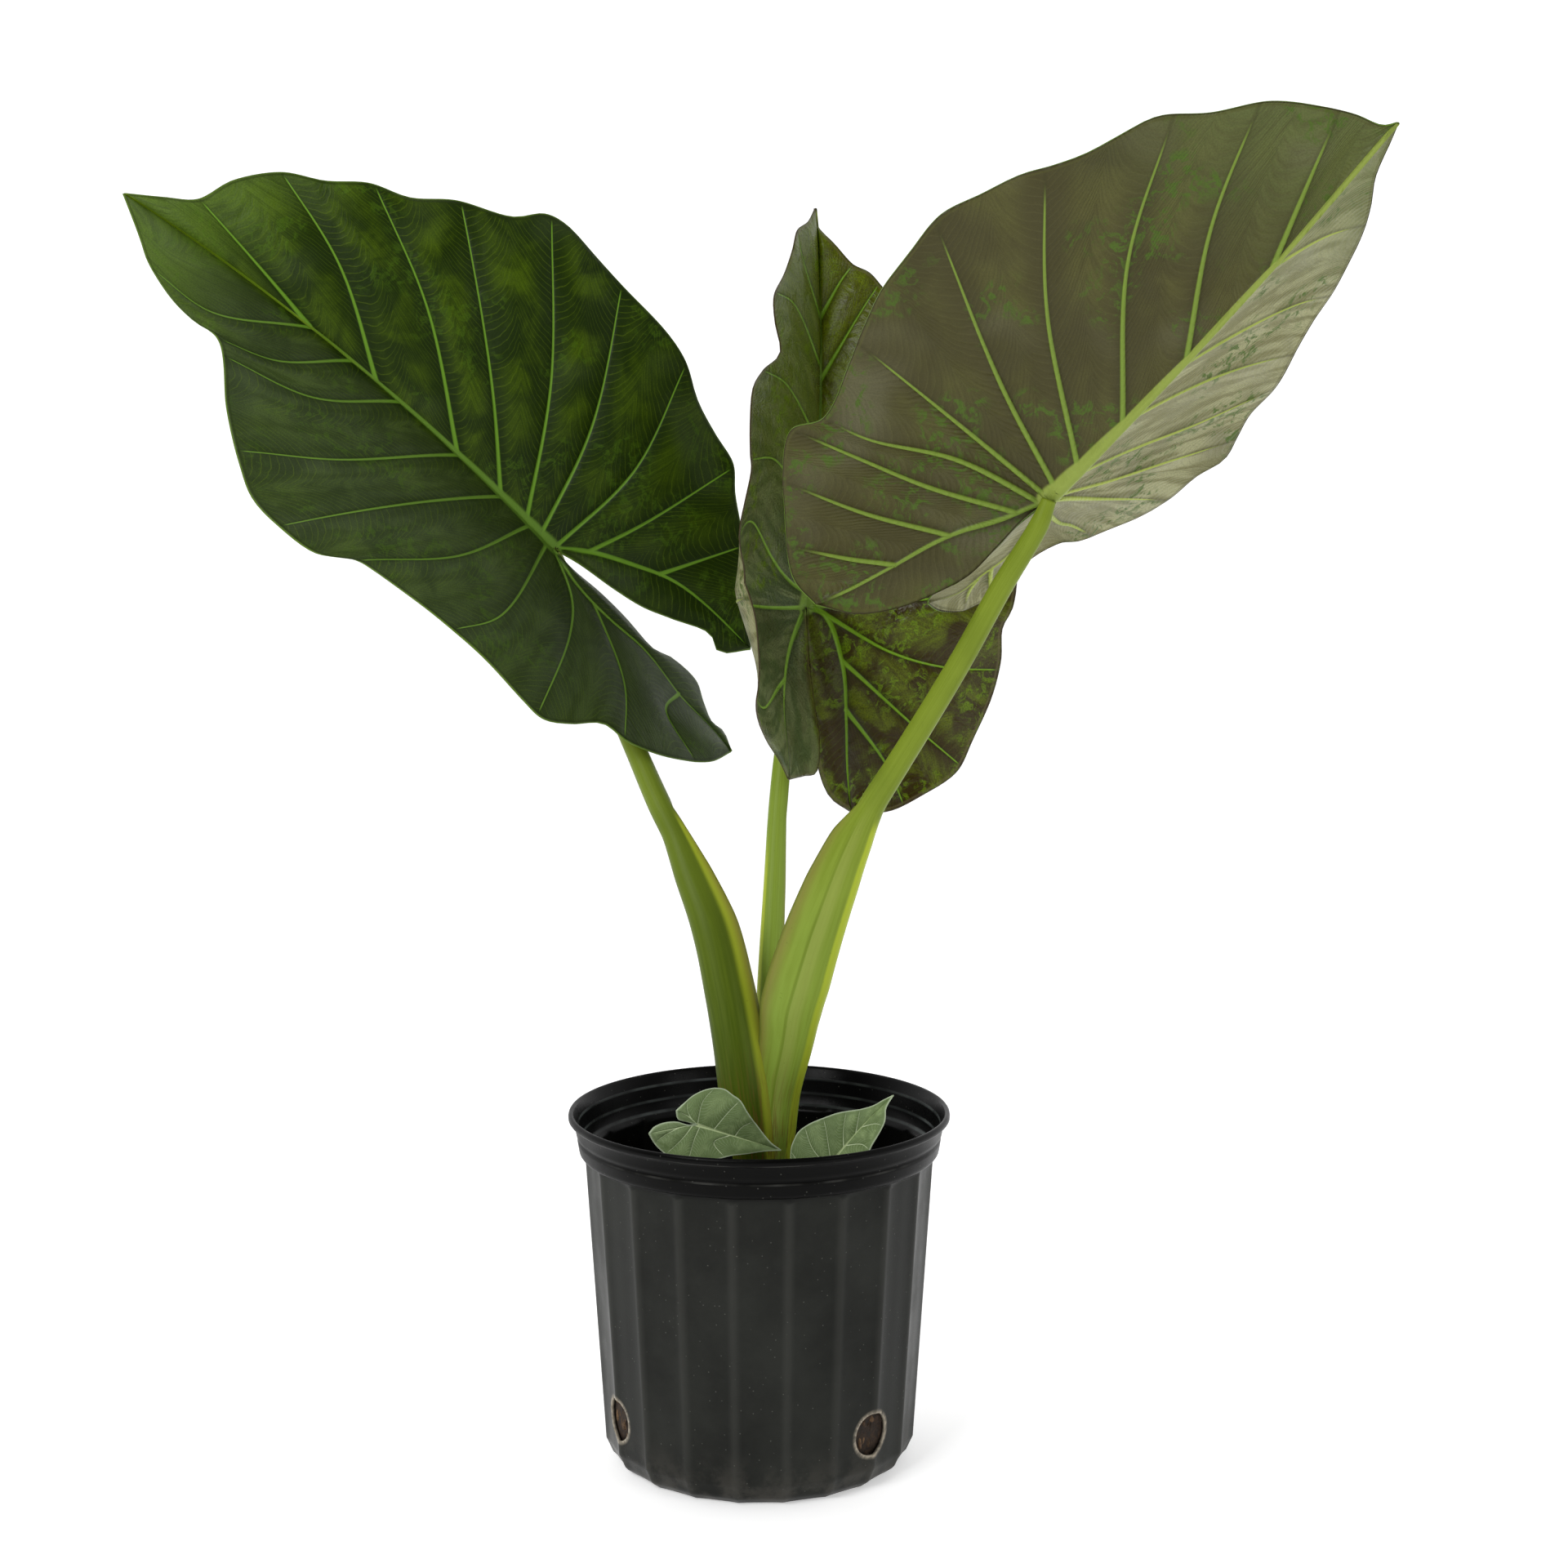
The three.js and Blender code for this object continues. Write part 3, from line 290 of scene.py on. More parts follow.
# Stems. A station is x, y, z, half depth, half width and sheath: half depth lies along the way that the
# sheath opens, and sheath goes from 0, a round stalk, to 1, an open channel.
LIP_TURN = 118
OPEN_POINTS = 44
HOLLOW_POINTS = 26
LIP_ACROSS = 0.62
STEMS = dict(
    left=dict(
        opens=(0.92, 0.38, 0),
        stations=[
            (-5, -4, 185.3, 13, 11, 0.6), (-4, -5, 211, 14.5, 12, 0.9), (-6, -5, 228, 16.5, 13, 1),
            (-10, -3, 255, 18, 14, 1), (-15, 3, 287, 17, 13.5, 1), (-21, 11, 319, 16.5, 13, 1),
            (-31, 23, 360, 15.5, 12, 1), (-46, 37, 395, 12.5, 10.5, 0.9), (-58, 50, 421, 9, 8.6, 0.5),
            (-69, 62, 440, 8.4, 8.2, 0), (-87, 86, 476, 7.5, 7.5, 0), (-105, 101, 514, 7, 7, 0),
            (-123, 115, 552, 6.6, 6.6, 0), (-138, 133, 590, 6, 6, 0), (-146.2, 130.8, 611.7, 4.6, 4.6, 0),
        ],
    ),
    right=dict(
        opens=(-0.85, 0.53, 0),
        stations=[
            (10, 2, 185.3, 11.5, 11, 0.6), (11, 2, 211, 12.5, 11.5, 0.9), (12, 1, 228, 13.5, 12, 1),
            (14, 0, 255, 15, 12.5, 1), (20, -5, 290, 18, 13, 1), (23, -9, 312, 20.5, 13.5, 1),
            (29, -14, 335, 21, 13.5, 1), (40, -22, 372, 19, 13, 1), (50, -30, 402, 17.5, 12, 0.9),
            (62, -38, 433, 14.5, 10, 0.7), (74, -45, 456, 9.2, 8.4, 0.1), (92, -55, 486, 7.9, 7.9, 0),
            (127, -74, 548, 7.4, 7.4, 0), (154, -91, 601, 7, 7, 0), (175, -104, 639, 6.2, 6.2, 0),
            (180.2, -105.5, 652.8, 4.6, 4.6, 0),
        ],
    ),
    middle=dict(
        opens=(0.8, 0.6, 0),
        stations=[
            (1, 12, 185.3, 9, 8.5, 0), (4, 19, 211, 9.5, 9, 0.3), (5, 32, 272, 9, 8.6, 0.7),
            (7, 47, 326, 8.4, 8, 0.7), (10, 65, 383, 7.6, 7.2, 0.5), (13, 84, 440, 6.6, 6.6, 0),
            (17, 101, 478, 6.2, 6.2, 0), (22, 116, 512, 5.8, 5.8, 0), (28, 129.5, 546, 5.4, 5.4, 0),
            (31.4, 130.2, 570.2, 4.4, 4.4, 0),
        ],
    ),
    pup_left=dict(
        opens=(0, 1, 0),
        stations=[
            (-26, -34, 140, 3, 3, 0), (-27, -36, 168, 3, 3, 0), (-33, -46, 205, 2.6, 2.6, 0),
            (-38, -55, 230, 2.2, 2.2, 0), (-39.6, -60.4, 244.2, 1.8, 1.8, 0),
        ],
    ),
    pup_right=dict(
        opens=(0, 1, 0),
        stations=[
            (30, -32, 140, 3, 3, 0), (32, -35, 165, 3, 3, 0), (38, -46, 190, 2.6, 2.6, 0),
            (43, -53, 205, 2.2, 2.2, 0), (45.5, -57.4, 216.2, 1.8, 1.8, 0),
        ],
    ),
)


def unit(vector):
    return vector / np.linalg.norm(vector, axis=-1, keepdims=True)


def smooth(value, low, high):
    t = np.clip((value - low) / (high - low), 0, 1)
    return t * t * (3 - 2 * t)


class Curve:
    """A centripetal Catmull-Rom curve, read by its share of length or by its stations."""

    def __init__(self, points, steps=24):
        points = np.array(points, float)
        padded = np.vstack([2 * points[0] - points[1], points, 2 * points[-1] - points[-2]])
        spans = np.sqrt(np.linalg.norm(np.diff(padded, axis=0), axis=1)) + 1e-9
        t = np.linspace(0, 1, steps, endpoint=False)[:, None]
        parts = []
        for i in range(1, len(padded) - 2):
            p0, p1, p2, p3 = padded[i - 1:i + 3]
            d0, d1, d2 = spans[i - 1:i + 2]
            out = ((p1 - p0) / d0 - (p2 - p0) / (d0 + d1) + (p2 - p1) / d1) * d1
            back = ((p2 - p1) / d1 - (p3 - p1) / (d1 + d2) + (p3 - p2) / d2) * d1
            a = 2 * p1 - 2 * p2 + out + back
            b = -3 * p1 + 3 * p2 - 2 * out - back
            parts.append(a * t ** 3 + b * t ** 2 + out * t + p1)
        self.points = np.vstack(parts + [points[-1:]])
        gaps = np.linalg.norm(np.diff(self.points, axis=0), axis=1)
        self.run = np.concatenate([[0], np.cumsum(gaps)])
        self.length = self.run[-1]

    def at(self, share):
        place = np.asarray(share) * self.length
        return np.stack([np.interp(place, self.run, column) for column in self.points.T], axis=-1)

    def station(self, share):
        place = np.asarray(share) * (len(self.points) - 1)
        index = np.arange(len(self.points))
        return np.stack([np.interp(place, index, column) for column in self.points.T], axis=-1)


class Sheet:
    """Collects points with named values, and faces whose corners have a value of their own."""

    def __init__(self):
        self.points = []
        self.values = {}
        self.faces = []
        self.corners = []
        self.count = 0

    def add(self, points, **values):
        shape = points.shape[:-1]
        self.points.append(points.reshape(-1, 3))
        for name, value in values.items():
            self.values.setdefault(name, []).append(np.broadcast_to(value, shape).reshape(-1))
        ids = np.arange(self.count, self.count + int(np.prod(shape))).reshape(shape)
        self.count += ids.size
        return ids

    def quads(self, ids, phase, flip=False):
        parts = [(0, 0), (1, 0), (1, 1), (0, 1)]
        rows, columns = ids.shape
        cut = [(slice(r, rows - 1 + r), slice(c, columns - 1 + c)) for r, c in parts]
        if flip:
            cut.reverse()
        self.faces.append(np.stack([ids[c].ravel() for c in cut], axis=1))
        self.corners.append(np.stack([phase[c].ravel() for c in cut], axis=1))

    def merged(self):
        points = np.vstack(self.points)
        keys = np.round(points * 1000).astype(np.int64)
        _, first, back = np.unique(keys, axis=0, return_index=True, return_inverse=True)
        back = back.ravel()
        faces = []
        corners = []
        for block, values in zip(self.faces, self.corners):
            for face, value in zip(back[block].tolist(), values.tolist()):
                kept = [k for k in range(len(face)) if face[k] != face[k - 1]]
                if len(set(face[k] for k in kept)) > 2:
                    faces.append([face[k] for k in kept])
                    corners.append([value[k] for k in kept])
        values = {name: np.concatenate(parts)[first] for name, parts in self.values.items()}
        return points[first], values, faces, corners


def build(name, points, faces, materials, slots=None, values=None, corners=None):
    """Makes a smooth mesh object in metres, with its values as attributes."""
    mesh = bpy.data.meshes.new(name)
    mesh.from_pydata((np.asarray(points) * MM).tolist(), [], faces)
    for material in materials:
        mesh.materials.append(material)
    if slots is not None:
        mesh.polygons.foreach_set("material_index", np.asarray(slots, np.int32))
    for key, value in (values or {}).items():
        attribute = mesh.attributes.new(key, "FLOAT", "POINT")
        attribute.data.foreach_set("value", np.asarray(value, np.float32))
    for key, value in (corners or {}).items():
        attribute = mesh.attributes.new(key, "FLOAT", "CORNER")
        attribute.data.foreach_set("value", np.asarray(value, np.float32))
    mesh.polygons.foreach_set("use_smooth", np.ones(len(mesh.polygons), bool))
    mesh.update()
    piece = bpy.data.objects.new(name, mesh)
    bpy.context.scene.collection.objects.link(piece)
    return piece


def stand_for(piece, node):
    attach(piece, "root")
    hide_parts(node)


# Blades


def blade_frame(blade):
    """The hub, the ways along, across and out of a blade, and its length from hub to tip."""
    hub = np.array(blade["hub"], float)
    along = np.array(blade["tip"], float) - hub
    length = np.linalg.norm(along)
    along /= length
    normal = np.array(blade["face"], float)
    normal = unit(normal - along * normal.dot(along))
    return dict(hub=hub, along=along, normal=normal, right=np.cross(along, normal), length=length)


def fold_line(blade, half, length, v):
    """How far the fold between the halves lies off the straight line at v."""
    t = np.clip(v / length, 0, 1)
    lean = half.get("lean", blade["lean"])
    return np.where(v >= 0, 4 * blade["sway"] * t * (1 - t), -lean * v)


def blade_point(blade, frame, side, flat, lift):
    """The place in space of flat points of a half blade, raised by lift."""
    half = blade["halves"][0 if side > 0 else 1]
    out = flat[..., 0]
    v = flat[..., 1]
    length = frame["length"]
    shift = fold_line(blade, half, length, v)
    distance = out - side * shift
    t = np.clip(v / length, 0, 1)
    q = np.clip(-v / FOLD_REACH, 0, 2)
    fold = np.radians(half["fold"][0] + (half["fold"][1] - half["fold"][0]) * t)
    bend = np.full(v.shape, np.radians(half["bend"]) / FOLD_REACH)
    if "curl" in half:
        curl = half["curl"]
        share = np.exp(-((v - curl["at"]) / curl["reach"]) ** 2)
        bend = bend + np.radians(curl["bend"]) / FOLD_REACH * share
        fold = fold + np.radians(curl["fold"]) * share
    straight = np.abs(bend) < 1e-6
    safe = np.where(straight, 1, bend)
    turned = fold + bend * distance
    reach = np.where(straight, distance * np.cos(fold), (np.sin(turned) - np.sin(fold)) / safe)
    height = np.where(straight, distance * np.sin(fold), (np.cos(fold) - np.cos(turned)) / safe)
    slope = 4 * blade["rise"] / length
    bow = np.where(v >= 0, slope * v * (1 - t), slope * v - blade["droop"] * q * q)
    return (
        frame["hub"]
        + v[..., None] * frame["along"]
        + (shift + side * reach)[..., None] * frame["right"]
        + (height + bow + lift)[..., None] * frame["normal"]
    )


# Where the rows lie between two veins, close together near each vein, and how far the painted side
# veins sweep back there
GAP_SHARES = np.array([0, 0.012, 0.025, 0.045, 0.08, 0.14, 0.22, 0.32, 0.42])
GAP_SHARES = np.concatenate([GAP_SHARES, [0.5], 1 - GAP_SHARES[:0:-1]])
SWEEP = 1.15


def half_rows(blade, frame, side, s):
    """Rows of flat points from the rib to the margin, from the tip to the end of the lobe."""
    half = blade["halves"][0 if side > 0 else 1]
    length = frame["length"]
    tip = np.array([0, length])
    outline = Curve([tip, *half["outline"], half["lobe"]])
    rib = Curve([(0, 0), *half["rib"], half["lobe"]])

    def root_at(start):
        if start >= 0:
            return np.array([side * float(fold_line(blade, half, length, np.float64(start))), start])
        return rib.at(min(1, -start / rib.length))

    guides = [dict(start=length, edge=0, line=np.tile(tip, (len(s), 1)), path=None)]
    for start, via in half["veins"]:
        nearest = np.argmin(np.linalg.norm(outline.points - np.array(via[-1]), axis=1))
        edge = outline.run[nearest] / outline.length
        path = Curve([root_at(start), *via[:-1], outline.at(edge)])
        guides.append(dict(start=start, edge=edge, line=path.at(s), path=path))
    lobe = np.tile(np.array(half["lobe"], float), (len(s), 1))
    guides.append(dict(start=-rib.length, edge=1, line=lobe, path=None))

    rows = []
    for a, b in zip(guides[:-1], guides[1:]):
        width = np.linalg.norm(a["line"] - b["line"], axis=1) / 2
        shares = GAP_SHARES if b is guides[-1] else GAP_SHARES[:-1]
        for share in shares:
            start = a["start"] + (b["start"] - a["start"]) * share
            edge = a["edge"] + (b["edge"] - a["edge"]) * share
            line = a["line"] + (b["line"] - a["line"]) * share
            root = root_at(start)
            end = outline.at(edge)
            flat = line + (root - line[0]) * (1 - s)[:, None] + (end - line[-1]) * s[:, None]
            run = np.concatenate([[0], np.cumsum(np.linalg.norm(np.diff(flat, axis=0), axis=1))])
            x = 1 - abs(2 * share - 1)
            phase = run - SWEEP * width * (0.35 * x + 0.65 * x ** 3)
            rows.append(
                dict(start=start, edge=edge, share=share, root=root, flat=flat, run=run, phase=phase)
            )
    paths = [g["path"] for g in guides if g["path"]]
    return rows, paths, rib


def distance_to(paths, flat, widths):
    """Distance from flat points to the nearest path, and the half width of that path there."""
    shape = flat.shape[:-1]
    points = flat.reshape(-1, 2)
    best = np.full(len(points), 1e9)
    wide = np.full(len(points), widths[1], float)
    share = np.linspace(0, 1, 160)
    for path in paths:
        line = path.at(share)
        for i in range(len(line) - 1):
            a = line[i]
            d = line[i + 1] - a
            t = np.clip(((points - a) @ d) / max(d @ d, 1e-12), 0, 1)
            away = np.linalg.norm(points - a - t[:, None] * d, axis=1)
            closer = away < best
            best[closer] = away[closer]
            wide[closer] = widths[0] + (widths[1] - widths[0]) * share[i] ** 0.8
    return best.reshape(shape), wide.reshape(shape)


def make_blade(name, blade, upper, under):
    """Two half blades as one sheet, with values that the paint reads, made into a thin shell."""
    size = blade["size"]
    frame = blade_frame(blade)
    length = frame["length"]
    sheet = Sheet()
    fine = np.array([0, 0.006, 0.012, 0.02, 0.032, 0.05, 0.075])
    s = np.concatenate([fine, np.linspace(0.1, 0.94, size["columns"]), [0.96, 0.98, 1]])
    for side in (1, -1):
        half = blade["halves"][0 if side > 0 else 1]
        rows, paths, rib = half_rows(blade, frame, side, s)
        midrib = Curve([(side * float(fold_line(blade, half, length, np.float64(v))), v)
                        for v in np.linspace(0, length, 12)])

        def place(flat, lift, edge, panel):
            away, wide = distance_to(paths, flat, size["vein"])
            rib_away, _ = distance_to([midrib], flat, (1, 1))
            broad, mid, thin = size["rib"]
            v = np.clip(flat[..., 1], 0, length)
            rib_wide = broad * np.exp(-v / (0.17 * length)) + mid * (1 - v / length) + thin
            lobe_away, lobe_wide = distance_to([rib], flat, (size["vein"][0] * 1.35, size["vein"][1]))
            nearer = lobe_away / lobe_wide < away / wide
            away = np.where(nearer, lobe_away, away)
            wide = np.where(nearer, lobe_wide, wide)
            points = blade_point(blade, frame, side, flat, lift)
            return sheet.add(
                points, vein_away=away, vein_wide=wide, rib_away=rib_away, rib_wide=rib_wide,
                margin=edge, panel=panel, out=side * flat[..., 0], along=flat[..., 1],
            )

        flat = np.stack([row["flat"] for row in rows])
        run = np.stack([row["run"] for row in rows])
        share = np.array([row["share"] for row in rows])[:, None]
        edge = np.array([row["edge"] for row in rows])[:, None]
        puff = size["quilt"] * np.sin(np.pi * share) ** 0.85 * np.sin(np.pi * s) ** 0.7
        wave = np.sin(2 * np.pi * blade["waves"] * edge) * np.sin(np.pi * edge) ** 0.5
        lift = puff + blade["ripple"] * s ** 4 * wave
        lift[:, 0] = 0
        panel = np.broadcast_to(1 - np.abs(2 * share - 1), run.shape)
        ids = place(flat, lift, run[:, -1:] - run, panel)
        phase = np.stack([row["phase"] for row in rows]) + 100 * (side < 0)
        starts = np.array([row["start"] for row in rows])
        hub_row = int(np.argmax(starts <= 0))
        flip = side < 0
        sheet.quads(ids[:hub_row + 1, 1:], phase[:hub_row + 1, 1:], flip)
        sheet.quads(ids[hub_row:], phase[hub_row:], flip)

        # A strip of triangles between the midrib's own stations and the first column of the rows
        v = length * (1 - np.linspace(0, 1, size["stations"] + 1))
        spine_flat = np.stack([side * fold_line(blade, half, length, v), v], axis=1)
        spine = place(spine_flat, 0, np.full(len(v), 50.0), np.zeros(len(v)))
        i = j = 0
        strip = []
        while i < size["stations"] or j < hub_row:
            spine_next = v[i + 1] if i < size["stations"] else -1e9
            row_next = starts[j + 1] if j < hub_row else -1e9
            if spine_next >= row_next:
                strip.append((spine[i], spine[i + 1], ids[j, 1]))
                i += 1
            else:
                strip.append((spine[i], ids[j + 1, 1], ids[j, 1]))
                j += 1
        strip = np.array(strip)
        sheet.faces.append(strip if side > 0 else strip[:, ::-1])
        sheet.corners.append(np.zeros(strip.shape))

        # The strip of blade between the lobe's rib and the open sinus
        sinus = Curve([half["lobe"], *half["sinus"], (0, 0)])
        reach = -starts[-1]
        roots = np.stack([row["root"] for row in rows[hub_row:]])
        ends = sinus.at(1 - np.clip(-starts[hub_row:] / reach, 0, 1))
        c = np.linspace(0, 1, size["sinus"] + 1)[None, :, None]
        inner_flat = roots[:, None] + (ends - roots)[:, None] * c
        gap = np.linalg.norm(ends - roots, axis=1)[:, None] * (1 - c[..., 0])
        belly = size["quilt"] * 0.5 * np.sin(np.pi * c[..., 0]) * np.ones_like(gap)
        inner = place(inner_flat, belly, gap, np.broadcast_to(c[..., 0], gap.shape))
        ribs = np.broadcast_to(-starts[hub_row:, None], gap.shape) + 0.4 * gap
        sheet.quads(inner, ribs, not flip)

    points, values, faces, corners = sheet.merged()
    return thicken(name, blade, points, values, faces, corners, (upper, under))


def thicken(name, blade, points, values, faces, corners, materials):
    """Gives the sheet its thickness, with grooves above the veins and ridges below them."""
    size = blade["size"]
    normals = np.zeros_like(points)
    for count in (3, 4):
        block = np.array([f for f in faces if len(f) == count])
        if len(block):
            a, b, c, d = [points[block[:, k]] for k in (0, 1, 2, count - 1)]
            cross = np.cross(c - a, d - b) if count == 4 else np.cross(b - a, c - a)
            for k in range(count):
                np.add.at(normals, block[:, k], cross)
    normals = unit(normals + 1e-12)
    near = np.clip(1 - (values["vein_away"] / values["vein_wide"]) ** 2, 0, 1) ** 0.6
    rib_near = np.clip(1 - (values["rib_away"] / values["rib_wide"]) ** 2, 0, 1) ** 0.6
    fade = np.clip(values["margin"] / 12, 0, 1)
    vein_high = size["vein_height"] * np.minimum(1, values["vein_wide"] / size["vein"][0]) * near * fade
    rib_high = size["rib_height"] * rib_near * np.clip(values["rib_wide"] / sum(size["rib"]) + 0.15, 0, 1)
    ridge = np.maximum(vein_high, rib_high)
    groove = size["groove"] * np.maximum(near * fade, 1.4 * rib_near)
    half = size["thickness"] / 2
    top = points + normals * (half - groove)[:, None]
    bottom = points - normals * (half + ridge)[:, None]
    count = len(points)
    shell = list(faces)
    shell += [[i + count for i in reversed(face)] for face in faces]
    slots = [0] * len(faces) + [1] * len(faces)
    phase = [value for group in corners for value in group]
    phase += [value for group in corners for value in reversed(group)]
    edges = {}
    for face, group in zip(faces, corners):
        for k in range(len(face)):
            edges[(face[k - 1], face[k])] = (group[k - 1], group[k])
    for (p, q), (a, b) in edges.items():
        if (q, p) not in edges:
            shell.append([q, p, p + count, q + count])
            slots.append(0)
            phase += [b, a, a, b]
    doubled = {key: np.concatenate([value, value]) for key, value in values.items()}
    return build(name, np.vstack([top, bottom]), shell, materials, slots, doubled, {"phase": phase})


# Stems


def section(sheath, deep, wide):
    """One ring of a stem's section, as arrays along and across the way that its sheath opens."""
    turn = np.radians(np.linspace(-LIP_TURN, LIP_TURN, OPEN_POINTS))
    wing = np.clip((np.abs(turn) - np.pi / 2) / np.radians(LIP_TURN - 90), 0, 1)
    open_x = -np.cos(turn) + 0.5 * wing
    open_y = np.sin(turn) * (1 - 0.1 * wing)
    share = np.linspace(0, 1, HOLLOW_POINTS + 2)[1:-1]
    front = np.radians(LIP_TURN + (360 - 2 * LIP_TURN) * share)
    across = LIP_ACROSS - 2 * LIP_ACROSS * share
    hollow = -0.3 + 1.15 * (across / LIP_ACROSS) ** 2
    x = np.concatenate([open_x, hollow])
    y = np.concatenate([open_y, across])
    round_turn = np.concatenate([turn, front])
    x = (1 - sheath) * -np.cos(round_turn) + sheath * x
    y = (1 - sheath) * np.sin(round_turn) + sheath * y
    return x * deep, y * wide


def make_stem(name, stem, material, steps, top_reach):
    """A stalk along its stations. Its turn value goes from 0 at one lip round the back to the other,
    and through the hollow to 1."""
    stations = np.array(stem["stations"], float)
    spine = Curve(stations[:, :3])
    t = np.linspace(0, 1, steps)
    centre = spine.station(t)
    tangent = unit(np.gradient(centre, axis=0))
    tangent[0] = (0, 0, 1)
    place = t * (len(stations) - 1)
    index = np.arange(len(stations))
    kernel = np.hanning(9) / np.hanning(9).sum()
    shapes = []
    for column in (3, 4, 5):
        rough = np.pad(np.interp(place, index, stations[:, column]), 4, mode="edge")
        shapes.append(np.convolve(rough, kernel, "valid"))
    deep, wide, sheath = shapes
    opens = np.array(stem["opens"], float)
    rings = []
    for i in range(steps):
        way = unit(opens - tangent[i] * opens.dot(tangent[i]))
        side = np.cross(tangent[i], way)
        x, y = section(sheath[i], deep[i], wide[i])
        rings.append(centre[i] + x[:, None] * way + y[:, None] * side)
    rings = np.stack(rings)
    rings = rings + tangent[-1] * (smooth(t, 0.97, 1) * top_reach)[:, None, None]
    shape = rings.shape[:2]
    height = np.broadcast_to((t * spine.length)[:, None], shape)
    turn = np.broadcast_to(np.linspace(0, 1, shape[1]), shape)
    open_share = np.broadcast_to(sheath[:, None], shape)
    lip = sum(np.exp(-((turn - at) / 0.02) ** 2) for at in (0.61, 0.01)) * open_share
    sheet = Sheet()
    ids = sheet.add(rings, height=height, turn=turn, lip=lip, sheath=open_share)
    loop = np.concatenate([ids, ids[:, :1]], axis=1)
    sheet.quads(loop, np.zeros(loop.shape), True)
    points, values, faces, _ = sheet.merged()
    for end, flip in ((rings[0], False), (rings[-1], True)):
        cap = [int(np.argmin(np.linalg.norm(points - p, axis=1))) for p in end]
        faces.append(cap if flip else cap[::-1])
    return build(name, points, faces, [material], values=values)


# Turned pieces


def ring(radius, turn, z):
    return np.stack([radius * np.cos(turn), radius * np.sin(turn), np.broadcast_to(z, turn.shape)], axis=-1)


def ring_faces(rings, count):
    """The quads between rings of as many points each."""
    faces = []
    for r in range(rings - 1):
        for i in range(count):
            j = (i + 1) % count
            faces.append([r * count + i, r * count + j, (r + 1) * count + j, (r + 1) * count + i])
    return faces


def flute(angle):
    """How deep the flutes are at an angle, and how near it is to a ridge between two of them."""
    share = ((np.degrees(angle) - FLUTE_TURN) * FLUTES / 360) % 1
    ridge = np.abs(2 * share - 1)
    return 1 - ridge ** FLUTE_ROUND, ridge


def open_drains(turn, level, walls):
    """Moves the points round each drain hole on to its edge. Says which go, and how near the rest are."""
    gone = np.zeros(turn.shape, bool)
    wear = np.zeros(turn.shape)
    half_width = DRAIN_WIDTH / 2
    half_height = DRAIN_HEIGHT / 2
    for drain in np.radians(DRAIN_ANGLES):
        across = (turn - drain + np.pi) % (2 * np.pi) - np.pi
        across = across * HEEL_RADIUS / half_width
        up = (level - DRAIN_CENTRE) / half_height
        far = np.where(walls, np.hypot(across, up), 9)
        gone |= far < 0.93
        edge = (far >= 0.93) & (far < 1.1)
        scale = np.where(edge, 1 / far, 1)
        turn = np.where(edge, drain + across * scale * half_width / HEEL_RADIUS, turn)
        level = np.where(edge, DRAIN_CENTRE + up * scale * half_height, level)
        wear = np.maximum(wear, np.exp(-np.clip(far - 1, 0, 9) / 0.3))
    return turn, level, gone.ravel(), wear


